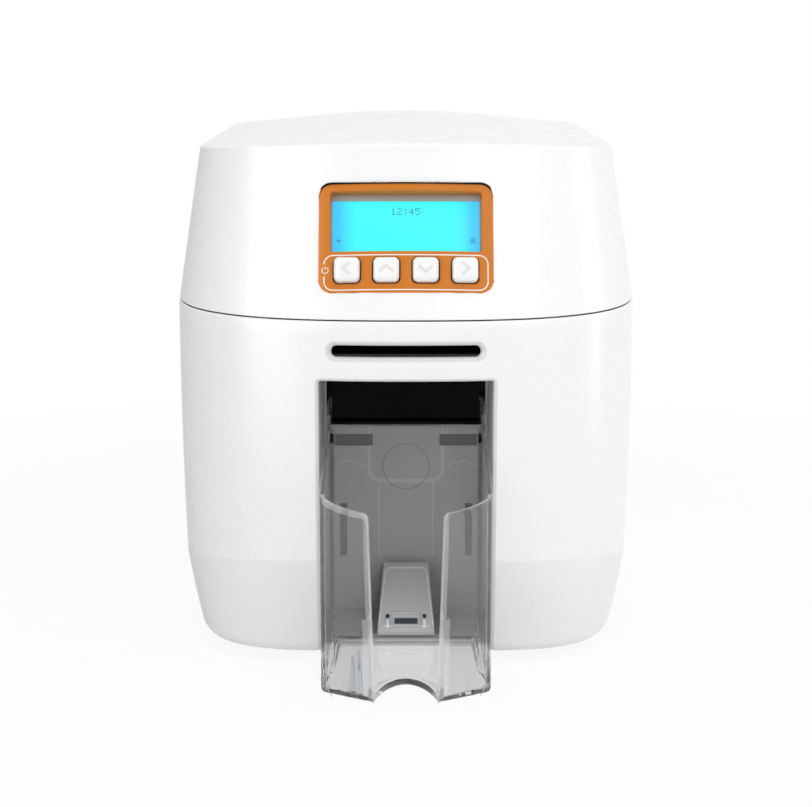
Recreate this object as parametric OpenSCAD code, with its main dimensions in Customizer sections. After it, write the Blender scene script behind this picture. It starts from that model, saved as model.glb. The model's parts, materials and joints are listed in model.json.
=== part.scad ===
// Desktop card printer: rounded two-part casing, clear card tray, sloping
// control panel, and the card, film and drive mechanism on a sheet chassis.
// Z is up, the front faces -Y, and the origin lies on the table under the
// middle of the outline.

/* [Casing] */
// Width of the casing at its widest
casing_w = 205; // [203:0.5:207]
// Depth from the front-most point of the casing to its rear
casing_d = 295; // [294:0.5:296]
// Height of the seam between lower housing and lid
seam_z = 152.6; // [152.2:0.1:153]
// Height of the lid's upper rim
rim_z = 219; // [216:1:224]
// Rise of the crown above the rim at the front edge
crown_front = 2; // [0:0.5:4]
// Further rise of the crown halfway back
crown_mid = 9.5; // [4:0.5:12]
// Lean of the lid's front, in millimetres back per millimetre up
lid_lean = 0.36; // [0.34:0.01:0.38]
// Inward taper of the lid's sides, in millimetres per millimetre up
lid_taper = 0.15; // [0.12:0.01:0.18]
// Exponent of the rounded front in plan: 2 is an ellipse
plan_n = 2.7; // [2.5:0.05:3]
// Front-to-back length of the rounded front in plan
plan_b = 98; // [94:1:102]
// Wall thickness of the casing
wall = 2.5; // [2.2:0.1:2.8]

/* [Lower band] */
// Height of the crease line at the front
crease_z = 48; // [44:1:52]
// Fall of the crease line per millimetre towards the rear
crease_fall = 0.19; // [0.15:0.01:0.22]
// Inward taper below the crease line
crease_taper = 0.19; // [0.15:0.01:0.22]
// Height of the casing's underside
base_z = 5; // [4.5:0.1:5.5]

/* [Front openings] */
// Width of the bay that holds the card tray
bay_w = 73.5; // [73:0.5:74]
// Height of the bay's ceiling
bay_top = 127.5; // [127:0.5:128]
// Width of the hand-feed slot
slot_w = 63; // [60:0.5:64]
// Height of the hand-feed slot's opening
slot_h = 4.7; // [4.5:0.1:5]
// Height of the hand-feed slot's middle
slot_z = 140.7; // [140.2:0.1:141]

/* [Control panel] */
// Width of the coloured bezel
panel_w = 72.5; // [72:0.5:73]
// Height of the bezel along the sloping front
panel_h = 46; // [45.5:0.5:46.5]
// Height of the bezel's middle above the table
panel_z = 186; // [185:0.5:187]
// Width of the display window
window_w = 62.2; // [60:0.2:63]
// Height of the display window
window_h = 24.3; // [23:0.1:24.6]
// Distance between neighbouring buttons
button_pitch = 16.3; // [16:0.1:16.5]
// Width of a button's face
button_w = 10.7; // [10:0.1:11]
// Height of a button's face
button_h = 9.7; // [9.2:0.1:10]

/* [Card path] */
// Height of the card's underside on its way through
path_z = 117; // [116.8:0.1:117.2]
// Card width
card_w = 54; // [53.5:0.1:54]
// Card length
card_l = 85.6; // [85:0.1:85.8]
// Gear tooth size, as pitch diameter per tooth
gear_m = 1; // [1:0.5:1]
// Pressure angle of the gear teeth
gear_angle = 25; // [24:1:26]

/* [Tray] */
// Distance that the clear tray stands out past the casing's front
tray_reach = 41; // [40:0.5:42]
// Half width of the gap between the tray's front wings
tray_gap = 13.4; // [12:0.2:16]

/* [Hidden] */

$fn = 48;
half_w = casing_w / 2;
front_y = tray_reach - (casing_d + tray_reach) / 2;
rear_y = front_y + casing_d;
centre_y = front_y + plan_b;
corner_r = 32;
front_steps = 44;
corner_steps = 6;
girth_z = 128;
belly_x = 1.7;
belly_y = 3;
base_round = 9;
crown_y = front_y + 150;
crown_half = 150;
seam_gap = 0.5;
lean_z = 151;

// Plan of the casing: half sizes at height z, with the lean and taper above lean_z
function below(z) = pow(max(girth_z - z, 0) / 100, 2);
function side(z) = half_w - belly_x * below(z) - lid_taper * max(z - lean_z, 0);
function nose(z) = plan_b - belly_y * below(z) - lid_lean * max(z - lean_z, 0);
function back(z) = rear_y - 0.03 * max(z - lean_z, 0);

// Depth of the front face at half width x and height z, moved inward by inset
function face_y(x, z, inset) = centre_y
    - (nose(z) - inset) * pow(1 - pow(abs(x) / (side(z) - inset), plan_n), 1 / plan_n);

function signed_power(v, e) = sign(v) * pow(abs(v), e);

// One closed outline at height z, moved inward by inset
function outline(z, inset) = concat(
    [for (i = [0:front_steps]) let (t = 180 * i / front_steps)
        [(side(z) - inset) * signed_power(cos(t), 2 / plan_n),
         centre_y - (nose(z) - inset) * pow(sin(t), 2 / plan_n)]],
    [for (i = [0:corner_steps]) let (t = 180 - 90 * i / corner_steps)
        [-(side(z) - corner_r) + (corner_r - inset) * cos(t),
         back(z) - corner_r + (corner_r - inset) * sin(t)]],
    [for (i = [0:corner_steps]) let (t = 90 - 90 * i / corner_steps)
        [side(z) - corner_r + (corner_r - inset) * cos(t),
         back(z) - corner_r + (corner_r - inset) * sin(t)]]);

// Height of the crease line at depth y, and the inset at z that it and the
// rounded lower edge of radius r cause
function crease(y) = max(crease_z - crease_fall * (y - front_y), base_z + base_round + 1);
function tuck(z, y, r) =
    crease_taper * max(crease_z - crease_fall * (y - front_y) - z, 0)
    + r - sqrt(pow(r, 2) - pow(max(base_round - (z - base_z), 0), 2));

// Rings of the lower housing: round lower edge, crease, then fractions up to the seam
outer_steps = [0, 0.7, 2.6, 5.5, base_round];
inner_steps = [wall, wall + 0.7, 5.5, base_round];
upper_steps = [0, 0.25, 0.5, 0.75, 1];
function housing_ring(level, y_part, inset, r) = let (plan = outline(seam_z, 0))
    [for (i = [0:len(plan) - 1])
        let (y = plan[i][1],
             z = y_part ? crease(y) + (seam_z - crease(y)) * level : base_z + level,
             p = outline(z, inset + tuck(z, y, r))[i]) [p[0], p[1], z]];
function reversed(list) = [for (i = [len(list) - 1:-1:0]) list[i]];
function housing_skin() = concat(
    [for (s = outer_steps) housing_ring(s, false, 0, base_round)],
    [for (s = upper_steps) housing_ring(s, true, 0, base_round)],
    [for (s = reversed(upper_steps)) housing_ring(s, true, wall, base_round - wall)],
    [for (s = reversed(inner_steps)) housing_ring(s, false, wall, base_round - wall)]);

// Height of the crowned top at a place in plan
function crown(x, y) = rim_z
    + (crown_front + crown_mid * (1 - pow((y - crown_y) / crown_half, 2)))
    * (1 - pow(x / 94, 2));
function lid_ring(z, inset) = [for (p = outline(z, inset)) [p[0], p[1], z]];
function rim_ring(drop, inset) = [for (p = outline(rim_z, inset))
    [p[0], p[1], crown(p[0], p[1]) - drop]];
function cap_ring(s, drop, inset) = [for (p = outline(rim_z, inset))
    let (x = p[0] * s, y = crown_y + (p[1] - crown_y) * s) [x, y, crown(x, y) - drop]];

// Faces of a skin over rings of equal length, closed on itself or capped
function skin_faces(rings, count, loop) = concat(
    [for (k = [0:rings - (loop ? 1 : 2)]) for (j = [0:count - 1])
        let (a = k * count, b = ((k + 1) % rings) * count, n = (j + 1) % count)
        each [[a + j, a + n, b + n], [a + j, b + n, b + j]]],
    loop ? [] : [[for (j = [count - 1:-1:0]) j],
                 [for (j = [0:count - 1]) (rings - 1) * count + j]]);
module skin(rings, loop) {
    polyhedron(points = [for (r = rings) each r],
        faces = skin_faces(len(rings), len(rings[0]), loop), convexity = 10);
}

// Flat outlines with round corners, made of true arcs
module round_rect(w, h, r) {
    square([w - 2 * r, h], center = true);
    square([w, h - 2 * r], center = true);
    for (x = [-1, 1]) for (y = [-1, 1])
        translate([x * (w / 2 - r), y * (h / 2 - r)]) circle(r);
}
module ring_2d(outer, inner) {
    difference() {
        circle(outer);
        circle(inner);
    }
}
// A box from corner to corner
module box(lo, hi) {
    translate(lo) cube(hi - lo);
}
// A flat outline in the YZ plane, made solid from x0 to x1
module across(x0, x1) {
    translate([x0, 0, 0]) rotate([90, 0, 90]) linear_extrude(x1 - x0) children();
}
// A flat outline in the XZ plane, made solid from y0 to y1
module along(y0, y1) {
    translate([0, y1, 0]) rotate([90, 0, 0]) linear_extrude(y1 - y0) children();
}
// A rod along X at a place in the YZ plane
module rod(at, r, x0, x1) {
    translate([x0, at[0], at[1]]) rotate([0, 90, 0]) cylinder(r = r, h = x1 - x0);
}
module tube(at, r, bore, x0, x1) {
    difference() {
        rod(at, r, x0, x1);
        rod(at, bore, x0 - 1, x1 + 1);
    }
}

// Places of shafts as [y, z]
exit_at = [-40, path_z - 6];
feed_at = [-6, path_z - 6];
platen_at = [24, path_z - 7];
pick_at = [98, path_z - 11];
pinch_at = [-40, path_z + 0.8 + 5.2];
clean_at = [50, path_z + 0.8 + 7.2];
cam_at = [24, 150];
supply_at = [54, 166];
take_up_at = [-10, 166];
hinge_at = [rear_y - 4, seam_z + 4.4];
latch_r = 2;
latch_x = [-60, -38, 38, 60];
latch_at = [front_y + 24, seam_z - 2.8];

// Sheet chassis
plate_x = 38;
plate_t = 1.5;
shaft_r = 2.5;
bushing_r = 4.5;
fit = 0.05;
gear_x = 41.5;
gear_w = 5;

// Gears
roller_teeth = 20;
idler_teeth = 18;
pinion_teeth = 14;
mesh_gap = 0.12;
// Third corner of a triangle with legs ra from a and rb from b, on the lower side
function third_corner(a, b, ra, rb) =
    let (d = norm(b - a), u = (b - a) / d,
         s = (ra * ra - rb * rb + d * d) / (2 * d), h = sqrt(ra * ra - s * s))
    a + s * u + h * [u[1], -u[0]];
mesh_ri = gear_m * (roller_teeth + idler_teeth) / 2;
mesh_pi = gear_m * (pinion_teeth + idler_teeth) / 2;
idler_front_at = third_corner(exit_at, feed_at, mesh_ri, mesh_ri);
idler_rear_at = third_corner(feed_at, platen_at, mesh_ri, mesh_ri);
motor_at = idler_rear_at + [0, -mesh_pi];
function bearing(a, b) = atan2(b[1] - a[1], b[0] - a[0]);
// Turn of gear 2 that puts its gap where a tooth of gear 1 points
function mesh_turn(t1, n1, a, b, n2) = let (w = bearing(a, b))
    w + 180 - (180 - (w - t1) * n1) / n2;
exit_turn = 0;
idler_front_turn = mesh_turn(exit_turn, roller_teeth, exit_at, idler_front_at, idler_teeth);
feed_turn = mesh_turn(idler_front_turn, idler_teeth, idler_front_at, feed_at, roller_teeth);
idler_rear_turn = mesh_turn(feed_turn, roller_teeth, feed_at, idler_rear_at, idler_teeth);
platen_turn = mesh_turn(idler_rear_turn, idler_teeth, idler_rear_at, platen_at, roller_teeth);
pinion_turn = mesh_turn(idler_rear_turn, idler_teeth, idler_rear_at, motor_at, pinion_teeth);

// Involute: angle in degrees gained at radius r above base radius b
function involute(b, r) = let (t = sqrt(max(pow(r / b, 2) - 1, 0)))
    t * 180 / PI - atan(t);
function gear_points(teeth) =
    let (rp = gear_m * teeth / 2, rb = rp * cos(gear_angle), ro = rp + 0.8 * gear_m,
         rr = rp - 1.15 * gear_m, half = 90 / teeth - mesh_gap / rp * 90 / PI,
         start = half + involute(rb, rp),
         radii = [rr, max(rb, rr + 0.1), (rb + rp) / 2, rp, (rp + ro) / 2, ro])
    [for (k = [0:teeth - 1]) each concat(
        [for (r = radii) let (a = 360 * k / teeth - (start - involute(rb, r)))
            r * [cos(a), sin(a)]],
        [for (i = [5:-1:0]) let (r = radii[i], a = 360 * k / teeth + start - involute(rb, r))
            r * [cos(a), sin(a)]])];
module gear(at, teeth, turn, bore, x0, x1) {
    translate([0, at[0], at[1]]) rotate([turn, 0, 0]) difference() {
        across(x0, x1) polygon(gear_points(teeth));
        rod([0, 0], bore, x0 - 1, x1 + 1);
    }
}

// Lid skin: from the middle of the ceiling out and down inside, then up outside
cap_steps = [0.04, 0.2, 0.4, 0.6, 0.8, 0.95];
wall_steps = [200, 180, 165, seam_z + seam_gap];
function lid_skin() = concat(
    [for (s = cap_steps) cap_ring(s, wall, wall)],
    [rim_ring(wall + 0.3, wall)],
    [for (z = wall_steps) lid_ring(z, wall)],
    [for (z = reversed(wall_steps)) lid_ring(z, 0)],
    [rim_ring(1.2, 0), rim_ring(0.35, 0.35), rim_ring(0, 1.2)],
    [for (s = reversed(cap_steps)) cap_ring(s, 0, 0)]);

// Frame of the sloping control panel: x right, y into the lid, z up the slope
panel_tilt = atan(lid_lean);
panel_y = front_y + lid_lean * (panel_z - lean_z);
panel_bow = 287;
module on_panel() {
    translate([0, panel_y, panel_z]) rotate([-panel_tilt, 0, 0]) children();
}
module panel_block(w, h, r, y0, y1, at = [0, 0]) {
    translate([at[0], 0, at[1]]) along(y0, y1) round_rect(w, h, r);
}
window_at = [0, 6.75];
button_row = -13.3;
module button_places() {
    for (i = [-1.5:1.5]) translate([i * button_pitch, 0, button_row]) children();
}

// Casing
boss_at = [[-66, -62], [66, -62], [-78, 60], [78, 60]];
function boss_rib(y) = half_w - (y < 0 ? 9 : 3.5);
knuckle_r = 3.4;
pin_r = 1.5;
housing_knuckles = [[-74, -50], [-12, 12], [50, 74]];
lid_knuckles = [[-49.6, -12.4], [12.4, 49.6]];
module knuckle(span, reach) {
    difference() {
        union() {
            rod(hinge_at, knuckle_r, span[0], span[1]);
            box([span[0], hinge_at[0] - 3, min(hinge_at[1], hinge_at[1] + reach)],
                [span[1], hinge_at[0] + 1.6, max(hinge_at[1], hinge_at[1] + reach)]);
        }
        rod(hinge_at, pin_r + fit, span[0] - 1, span[1] + 1);
    }
}
rear_w = 128;
rear_lo = 16;
rear_hi = 138;
module lower_housing() color("white") {
    difference() {
        skin(housing_skin(), true);
        along(front_y - 5, front_y + 25)
            translate([0, bay_top / 2 - 10]) round_rect(bay_w, bay_top + 20, 2);
        translate([0, 0, slot_z]) along(front_y - 5, front_y + 25)
            round_rect(slot_w, slot_h, slot_h / 2 - 0.05);
        translate([0, 0, slot_z]) along(front_y - 5, front_y + 1)
            round_rect(slot_w + 3, slot_h + 3.3, slot_h / 2 + 1.6);
        along(rear_y - 20, rear_y + 5)
            translate([0, (rear_lo + rear_hi) / 2]) round_rect(rear_w, rear_hi - rear_lo, 3);
    }
    for (p = boss_at) difference() {
        union() {
            translate([p[0], p[1], base_z + 2.5]) cylinder(r = 4, h = 40);
            box([min(p[0], sign(p[0]) * boss_rib(p[1])), p[1] - 1, 22],
                [max(p[0], sign(p[0]) * boss_rib(p[1])), p[1] + 1, 44]);
        }
        translate([p[0], p[1], base_z]) cylinder(r = 1.4, h = 30);
    }
    for (x = latch_x) difference() {
        box([x - 2, face_y(x, seam_z, 1.2), latch_at[1] - 5], [x + 2, latch_at[0] + 4, latch_at[1] + 2.6]);
        rod(latch_at, latch_r + fit, x - 3, x + 3);
    }
    for (k = housing_knuckles) knuckle(k, -8);
}

module base_plate() color([0.55, 0.56, 0.58]) {
    difference() {
        translate([0, 0, base_z]) linear_extrude(2.5)
            polygon([for (p = housing_ring(0, false, 0.3, base_round)) [p[0], p[1]]]);
        box([-bay_w / 2 - 2.4, front_y - 5, 0], [bay_w / 2 + 2.4, bay_back + 4, 20]);
        for (p = boss_at) translate([p[0], p[1], 0]) cylinder(r = 1.7, h = 20);
        for (p = foot_at) translate([p[0], p[1], 0]) cylinder(r = 3, h = 20);
        for (x = [-52:8:52]) for (y = [88, 118])
            translate([x, y, 0]) linear_extrude(20) round_rect(3, 20, 1.4);
    }
    for (x = [-30, 30]) for (y = [26, 158])
        translate([x, y, base_z + 2.5]) cylinder(r = 2.5, h = board_z - base_z - 2.5);
}

foot_at = [[-56, -72], [56, -72], [-70, 128], [70, 128]];
module rubber_feet() color([0.12, 0.12, 0.13]) {
    for (p = foot_at) translate([p[0], p[1], 0]) {
        cylinder(r = 8, h = base_z);
        cylinder(r = 2.9, h = base_z + 2.5);
    }
}

board_z = 16;
// Sockets as [x, width, height]
socket_list = [[-22, 9, 11], [-4, 12, 11], [17, 16, 13.5]];
fan_at = [0, 84];
module rear_panel() color([0.93, 0.93, 0.92]) {
    difference() {
        union() {
            along(rear_y - 4.5, rear_y - 2.55) translate([0, (rear_lo + rear_hi) / 2])
                round_rect(rear_w + 4, rear_hi - rear_lo + 4, 4);
            along(rear_y - 4.5, rear_y - 0.4) translate([0, (rear_lo + rear_hi) / 2])
                round_rect(rear_w - 0.6, rear_hi - rear_lo - 0.6, 2.7);
        }
        for (s = socket_list) along(rear_y - 10, rear_y + 5)
            translate([s[0], board_z + 1.6 + s[2] / 2]) square([s[1] + 0.6, s[2] + 0.6], center = true);
        for (i = [-4:4]) along(rear_y - 10, rear_y + 5)
            translate([fan_at[0], fan_at[1] + i * 4]) round_rect(2 * sqrt(400 - 16 * i * i) - 3, 2.2, 1);
        for (x = [-46, 46]) for (i = [-5:5]) along(rear_y - 10, rear_y + 5)
            translate([x, 84 + i * 6]) round_rect(20, 2.4, 1.1);
        along(rear_y - 10, rear_y + 5) translate([52, 30]) round_rect(7, 3, 1.4);
    }
}

// Tray bay: grey channel behind the front opening, closed at the back
bay_back = -58;
bay_floor = 6;
exit_lo = 95;
bay_t = 2;
module bay_side() {
    polygon([[bay_back + 0.5, bay_floor - bay_t], [-97, bay_floor - bay_t], [front_y + 19, 10],
        [front_y + 11, 40], [front_y + 7.3, 60], [front_y + 5.6, 100],
        [front_y + 5.6, bay_top + bay_t], [bay_back + 0.5, bay_top + bay_t]]);
}
module tray_bay() color([0.72, 0.73, 0.74]) {
    for (x = [-bay_w / 2 - bay_t, bay_w / 2]) across(x, x + bay_t) bay_side();
    box([-bay_w / 2 - 1, front_y + 5.6, bay_top], [bay_w / 2 + 1, bay_back + bay_t, bay_top + bay_t]);
    box([-bay_w / 2 - 1, -97, bay_floor - bay_t], [bay_w / 2 + 1, bay_back + 1, bay_floor]);
    difference() {
        along(bay_back, bay_back + bay_t) union() {
            translate([-bay_w / 2 - bay_t, bay_floor - bay_t]) square([bay_w + 2 * bay_t, exit_lo - bay_floor + bay_t]);
            translate([-bay_w / 2 - bay_t, exit_lo]) square([3.05, bay_top + bay_t - exit_lo]);
            translate([bay_w / 2 + bay_t - 3.05, exit_lo]) square([3.05, bay_top + bay_t - exit_lo]);
        }
        for (s = [-1, 1]) {
            along(-70, -40) translate([s * 24.4, 88.6]) round_rect(18.5, 4.6, 0.8);
            along(-70, -40) translate([s * 27.5, 46]) round_rect(3.2, 24.5, 1);
        }
        along(bay_back - 1, bay_back + 0.7) translate([0, 84]) round_rect(32, 30, 5);
    }
    along(bay_back - 0.1, bay_back + 0.8) translate([0, 75.3]) circle(10.7);
    for (x = [-lug_x - lug_t, lug_x]) difference() {
        union() {
            rod(catch_at, lug_r, x, x + lug_t);
            box([x, catch_at[0], catch_at[1] - lug_r + 0.2], [x + lug_t, bay_back + 0.5, catch_at[1] + lug_r - 0.2]);
        }
        rod(catch_at, catch_r + fit, x - 1, x + lug_t + 1);
    }
}

module exit_frame() color([0.05, 0.05, 0.06]) {
    difference() {
        along(bay_back, -50) translate([0, (exit_lo + bay_top) / 2]) square([bay_w - 2.1, bay_top - exit_lo], center = true);
        along(-70, -51.5) translate([0, (exit_lo + bay_top) / 2 + 0.2]) square([67.4, bay_top - exit_lo - 2.8], center = true);
        along(-70, -40) translate([0, 117.5]) square([58, 9], center = true);
    }
}

// Chute from the hand-feed slot down to the card path
chute_t = 1.3;
chute_path = [[front_y + 4.5, slot_z], [-34, 134], [-16, 122.2]];
module chute_side(half) {
    polygon([for (k = [0:2]) chute_path[k] + [0, half], for (k = [2:-1:0]) chute_path[k] - [0, half]]);
}
module feed_chute() color([0.06, 0.06, 0.07]) {
    difference() {
        across(-slot_w / 2 - chute_t, slot_w / 2 + chute_t) chute_side(slot_h / 2 + chute_t);
        across(-slot_w / 2, slot_w / 2) {
            chute_side(slot_h / 2);
            translate([chute_path[0][0] - 4.9, slot_z - slot_h / 2]) square([5, slot_h]);
            translate([-16.4, 122.2 - slot_h / 2]) square([5, slot_h]);
        }
    }
    for (s = [-1, 1]) box([s < 0 ? -plate_x : slot_w / 2 + chute_t, -44, 131.5],
        [s < 0 ? -slot_w / 2 - chute_t : plate_x, -37, 135]);
}

// Chassis
module plate_outline() {
    polygon([[-50, 7.5], [-36, 7.5], [-36, 58], [-30, 64], [130, 64], [136, 58], [136, 7.5],
        [150, 7.5], [156, 14], [156, 150], [80, 150], [74, 156], [74, 178], [66, 186],
        [-22, 186], [-30, 178], [-32, 142], [-46, 138], [-50, 130]]);
}
module plate_holes() {
    for (p = [exit_at, feed_at, platen_at, pick_at, clean_at]) translate(p) circle(bushing_r);
    for (p = [cam_at, supply_at, take_up_at]) translate(p) circle(4.1);
    translate(pinch_at) circle(1.6);
    translate([platen_at[0], 136]) square([4.2, 12], center = true);
    for (p = [idler_front_at, idler_rear_at]) translate(p) circle(2);
    for (p = [[0, 130], [70, 90], [112, 128], [135, 100]]) translate(p) circle(5);
}
module foot_flange(x0, x1, y) {
    difference() {
        box([x0, y, 7.5], [x1, y + 14, 9]);
        translate([(x0 + x1) / 2, y + 7, 0]) cylinder(r = 1.7, h = 20);
    }
}
module chassis_left() color([0.78, 0.79, 0.8]) {
    across(-plate_x - plate_t, -plate_x) difference() {
        plate_outline();
        plate_holes();
    }
    for (y = [-50, 136]) foot_flange(-plate_x - 14, -plate_x - plate_t, y);
}
module chassis_right() color([0.78, 0.79, 0.8]) {
    across(plate_x, plate_x + plate_t) difference() {
        plate_outline();
        plate_holes();
        translate(motor_at) circle(11);
        for (a = [-1, 1]) for (b = [-1, 1]) translate(motor_at + [a, b] * 13) circle(1.6);
    }
    for (p = [idler_front_at, idler_rear_at]) rod(p, 2, plate_x, gear_x + gear_w + 1);
    for (y = [-50, 136]) foot_flange(plate_x + plate_t, plate_x + 14, y);
}
module head_bridge() color([0.7, 0.71, 0.73]) {
    box([-plate_x, 12, 172], [plate_x, 36, 174]);
    for (s = [-1, 1]) translate([s * spring_x, spring_y, 163]) difference() {
        cylinder(r = 6, h = 9);
        translate([0, 0, -1]) cylinder(r = 4.6, h = 10);
    }
}
module shaft_bushings() color([0.72, 0.55, 0.3]) {
    for (p = [exit_at, feed_at, platen_at, pick_at, clean_at]) for (s = [-1, 1]) {
        x0 = s * (plate_x + plate_t) + (s < 0 ? -1 : 0);
        difference() {
            union() {
                rod(p, bushing_r, s < 0 ? -plate_x - plate_t : plate_x, s < 0 ? -plate_x : plate_x + plate_t);
                rod(p, bushing_r + 1, x0, x0 + 1);
            }
            rod(p, shaft_r + fit, -60, 60);
        }
    }
}

// Card deck: lower guide with windows for the rollers and low side rails
deck_lo = path_z - 2.6;
deck_hi = path_z - 0.6;
module card_deck() color([0.16, 0.16, 0.18]) {
    difference() {
        box([-plate_x, -48, deck_lo], [plate_x, 66, deck_hi]);
        for (p = [exit_at, feed_at]) translate([0, p[0], 0]) box([-27, -7.5, 100], [27, 7.5, 130]);
        translate([0, platen_at[0], 0]) box([-31, -8.5, 100], [31, 8.5, 130]);
        for (p = [exit_at, feed_at, platen_at]) box([-plate_x - 1, p[0] - 3.5, 100], [plate_x + 1, p[0] + 3.5, path_z - 3]);
    }
    for (s = [-1, 1]) for (y = [[-32, -14], [2, 14], [34, 66]])
        box([s > 0 ? card_w / 2 + 0.4 : -card_w / 2 - 2, y[0], deck_hi],
            [s > 0 ? card_w / 2 + 2 : -card_w / 2 - 0.4, y[1], path_z + 1.2]);
}

// Driven rollers
module driven_shaft(at, turn, end) {
    rod(at, shaft_r, -plate_x - 4, end);
    gear(at, roller_teeth, turn, shaft_r - 0.5, gear_x, gear_x + gear_w);
}
module tyres(at, r, spans) {
    for (s = spans) tube(at, r, shaft_r, s[0], s[1]);
}
tyre_spans = [[-24, -10], [10, 24]];
module exit_roller() color([0.85, 0.85, 0.83]) driven_shaft(exit_at, exit_turn, 48);
module exit_tyres() color([0.2, 0.2, 0.22]) tyres(exit_at, 6, tyre_spans);
module feed_roller() color([0.85, 0.85, 0.83]) driven_shaft(feed_at, feed_turn, 48);
module feed_tyres() color([0.2, 0.2, 0.22]) tyres(feed_at, 6, tyre_spans);
pulley_r = 8;
pulley_x = 48.5;
module pulley(at) {
    rod(at, pulley_r, pulley_x, pulley_x + 4);
    rod(at, pulley_r + 1.5, pulley_x - 0.8, pulley_x);
    rod(at, pulley_r + 1.5, pulley_x + 4, pulley_x + 4.8);
}
module pick_roller() color([0.85, 0.85, 0.83]) {
    rod(pick_at, shaft_r, -plate_x - 4, pulley_x + 6);
    pulley(pick_at);
}
module pick_tyres() color([0.2, 0.2, 0.22]) tyres(pick_at, 11, [[-20, -8], [8, 20]]);
module platen_shaft() color([0.8, 0.81, 0.83]) rod(platen_at, shaft_r, -plate_x - 4, pulley_x + 6);
module platen_rubber() color([0.15, 0.15, 0.16]) tyres(platen_at, 7, [[-29, 29]]);
module platen_gear() color([0.93, 0.93, 0.9]) {
    gear(platen_at, roller_teeth, platen_turn, shaft_r, gear_x, gear_x + gear_w);
    difference() {
        union() {
            pulley(platen_at);
            rod(platen_at, 5, gear_x + gear_w - 0.5, pulley_x - 0.5);
        }
        rod(platen_at, shaft_r, 40, 60);
    }
}
function belt_points(r) = let (d = bearing(platen_at, pick_at)) concat(
    [for (i = [0:32]) let (w = d + 90 + 180 * i / 32) platen_at + r * [cos(w), sin(w)]],
    [for (i = [0:32]) let (w = d - 90 + 180 * i / 32) pick_at + r * [cos(w), sin(w)]]);
module pick_belt() color([0.1, 0.1, 0.11]) {
    across(pulley_x + 0.3, pulley_x + 3.7) difference() {
        polygon(belt_points(pulley_r + 1.3));
        polygon(belt_points(pulley_r + 0.1));
    }
}
module exit_pinch() color([0.75, 0.76, 0.78]) {
    rod(pinch_at, 1.5, -plate_x - 2.5, plate_x + 2.5);
    for (s = tyre_spans) rod(pinch_at, 5, s[0], s[1]);
}
module cleaning_roller() color([0.25, 0.5, 0.78]) {
    rod(clean_at, shaft_r, -plate_x - 4, plate_x + 4);
    rod(clean_at, 7, -27, 27);
}
module idler(at, turn) gear(at, idler_teeth, turn, 2 + fit, gear_x, gear_x + gear_w);
module idler_front() color([0.93, 0.93, 0.9]) idler(idler_front_at, idler_front_turn);
module idler_rear() color([0.93, 0.93, 0.9]) idler(idler_rear_at, idler_rear_turn);
module motor_pinion() color([0.85, 0.7, 0.35]) {
    gear(motor_at, pinion_teeth, pinion_turn, 2, gear_x, gear_x + gear_w);
    rod(motor_at, 2.01, plate_x - 3, gear_x + gear_w + 1);
}
module drive_motor() color([0.3, 0.31, 0.33]) {
    difference() {
        union() {
            across(4, plate_x) translate(motor_at) round_rect(35, 35, 4);
            rod(motor_at, 10.9, plate_x, plate_x + plate_t);
        }
        rod(motor_at, 2.3, plate_x - 4, plate_x + 3);
    }
}

// Print head, its carriage and the cam that lifts it
spring_x = 24;
spring_y = 24;
lift = 4;
cam_low = 5;
module head_carriage() color([0.5, 0.52, 0.55]) {
    box([-36.5, 14, 130], [36.5, 34, 139.5]);
    for (s = [-1, 1]) {
        box([s * 31 - 3, 34.2 - 0.4, 130], [s * 31 + 3, 36.4, 158]);
        box([s * 31 - 3, 16, cam_at[1] + cam_low + 0.3], [s * 31 + 3, 36.4, 158]);
        box([min(s * 18, s * 34), 16, 156], [max(s * 18, s * 34), 33, 158]);
        rod([platen_at[0], 133], 2, s > 0 ? 36 : -plate_x - 3, s > 0 ? plate_x + 3 : -36);
    }
}
module printhead() color([0.72, 0.73, 0.75]) {
    box([-31, 15, 124], [31, 33, 130]);
    for (y = [15:3:30]) box([-31, y, 121.5], [31, y + 1.4, 124]);
    across(-30, 30) polygon([[18, 124], [30, 124], [30, 121], [25, 118.1], [23, 118.1], [18, 121]]);
}
// Spring wire swept along a helix, with flat end turns
function helix_point(t, r, rise, turns) = [r * cos(360 * turns * t), r * sin(360 * turns * t), rise * t];
module spring(r, wire, rise, turns, sides, steps) {
    rings = [for (k = [0:steps]) let (t = k / steps, a = 360 * turns * t, c = helix_point(t, r, rise, turns))
        [for (j = [0:sides - 1]) let (b = 360 * j / sides)
            c + wire * [cos(a) * cos(b), sin(a) * cos(b), sin(b)]]];
    polyhedron(points = [for (q = rings) each q],
        faces = skin_faces(len(rings), sides, false), convexity = 10);
}
module head_springs() color([0.8, 0.8, 0.82]) {
    for (s = [-1, 1]) translate([s * spring_x, spring_y, 158.6])
        spring(3.4, 0.6, 12.8, 6, 8, 72);
}
module cam_shape() {
    steps = 36;
    polygon([for (i = [0:steps]) let (a = 180 * i / steps)
        (cam_low + lift * i / steps) * [cos(90 - a), sin(90 - a)],
        for (i = [1:11]) let (a = 180 + 180 * i / 12, q = i / 12)
        (cam_low + lift * (1 - q)) * [cos(90 - a), sin(90 - a)]]);
}
module cam_shaft() color([0.85, 0.85, 0.83]) {
    rod(cam_at, 4, -plate_x - 3, plate_x + 6);
    for (s = [-1, 1]) translate([0, cam_at[0], cam_at[1]]) across(s * 31 - 2.5, s * 31 + 2.5) cam_shape();
    rod(cam_at, 8, plate_x + 3, plate_x + 8);
}

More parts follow.
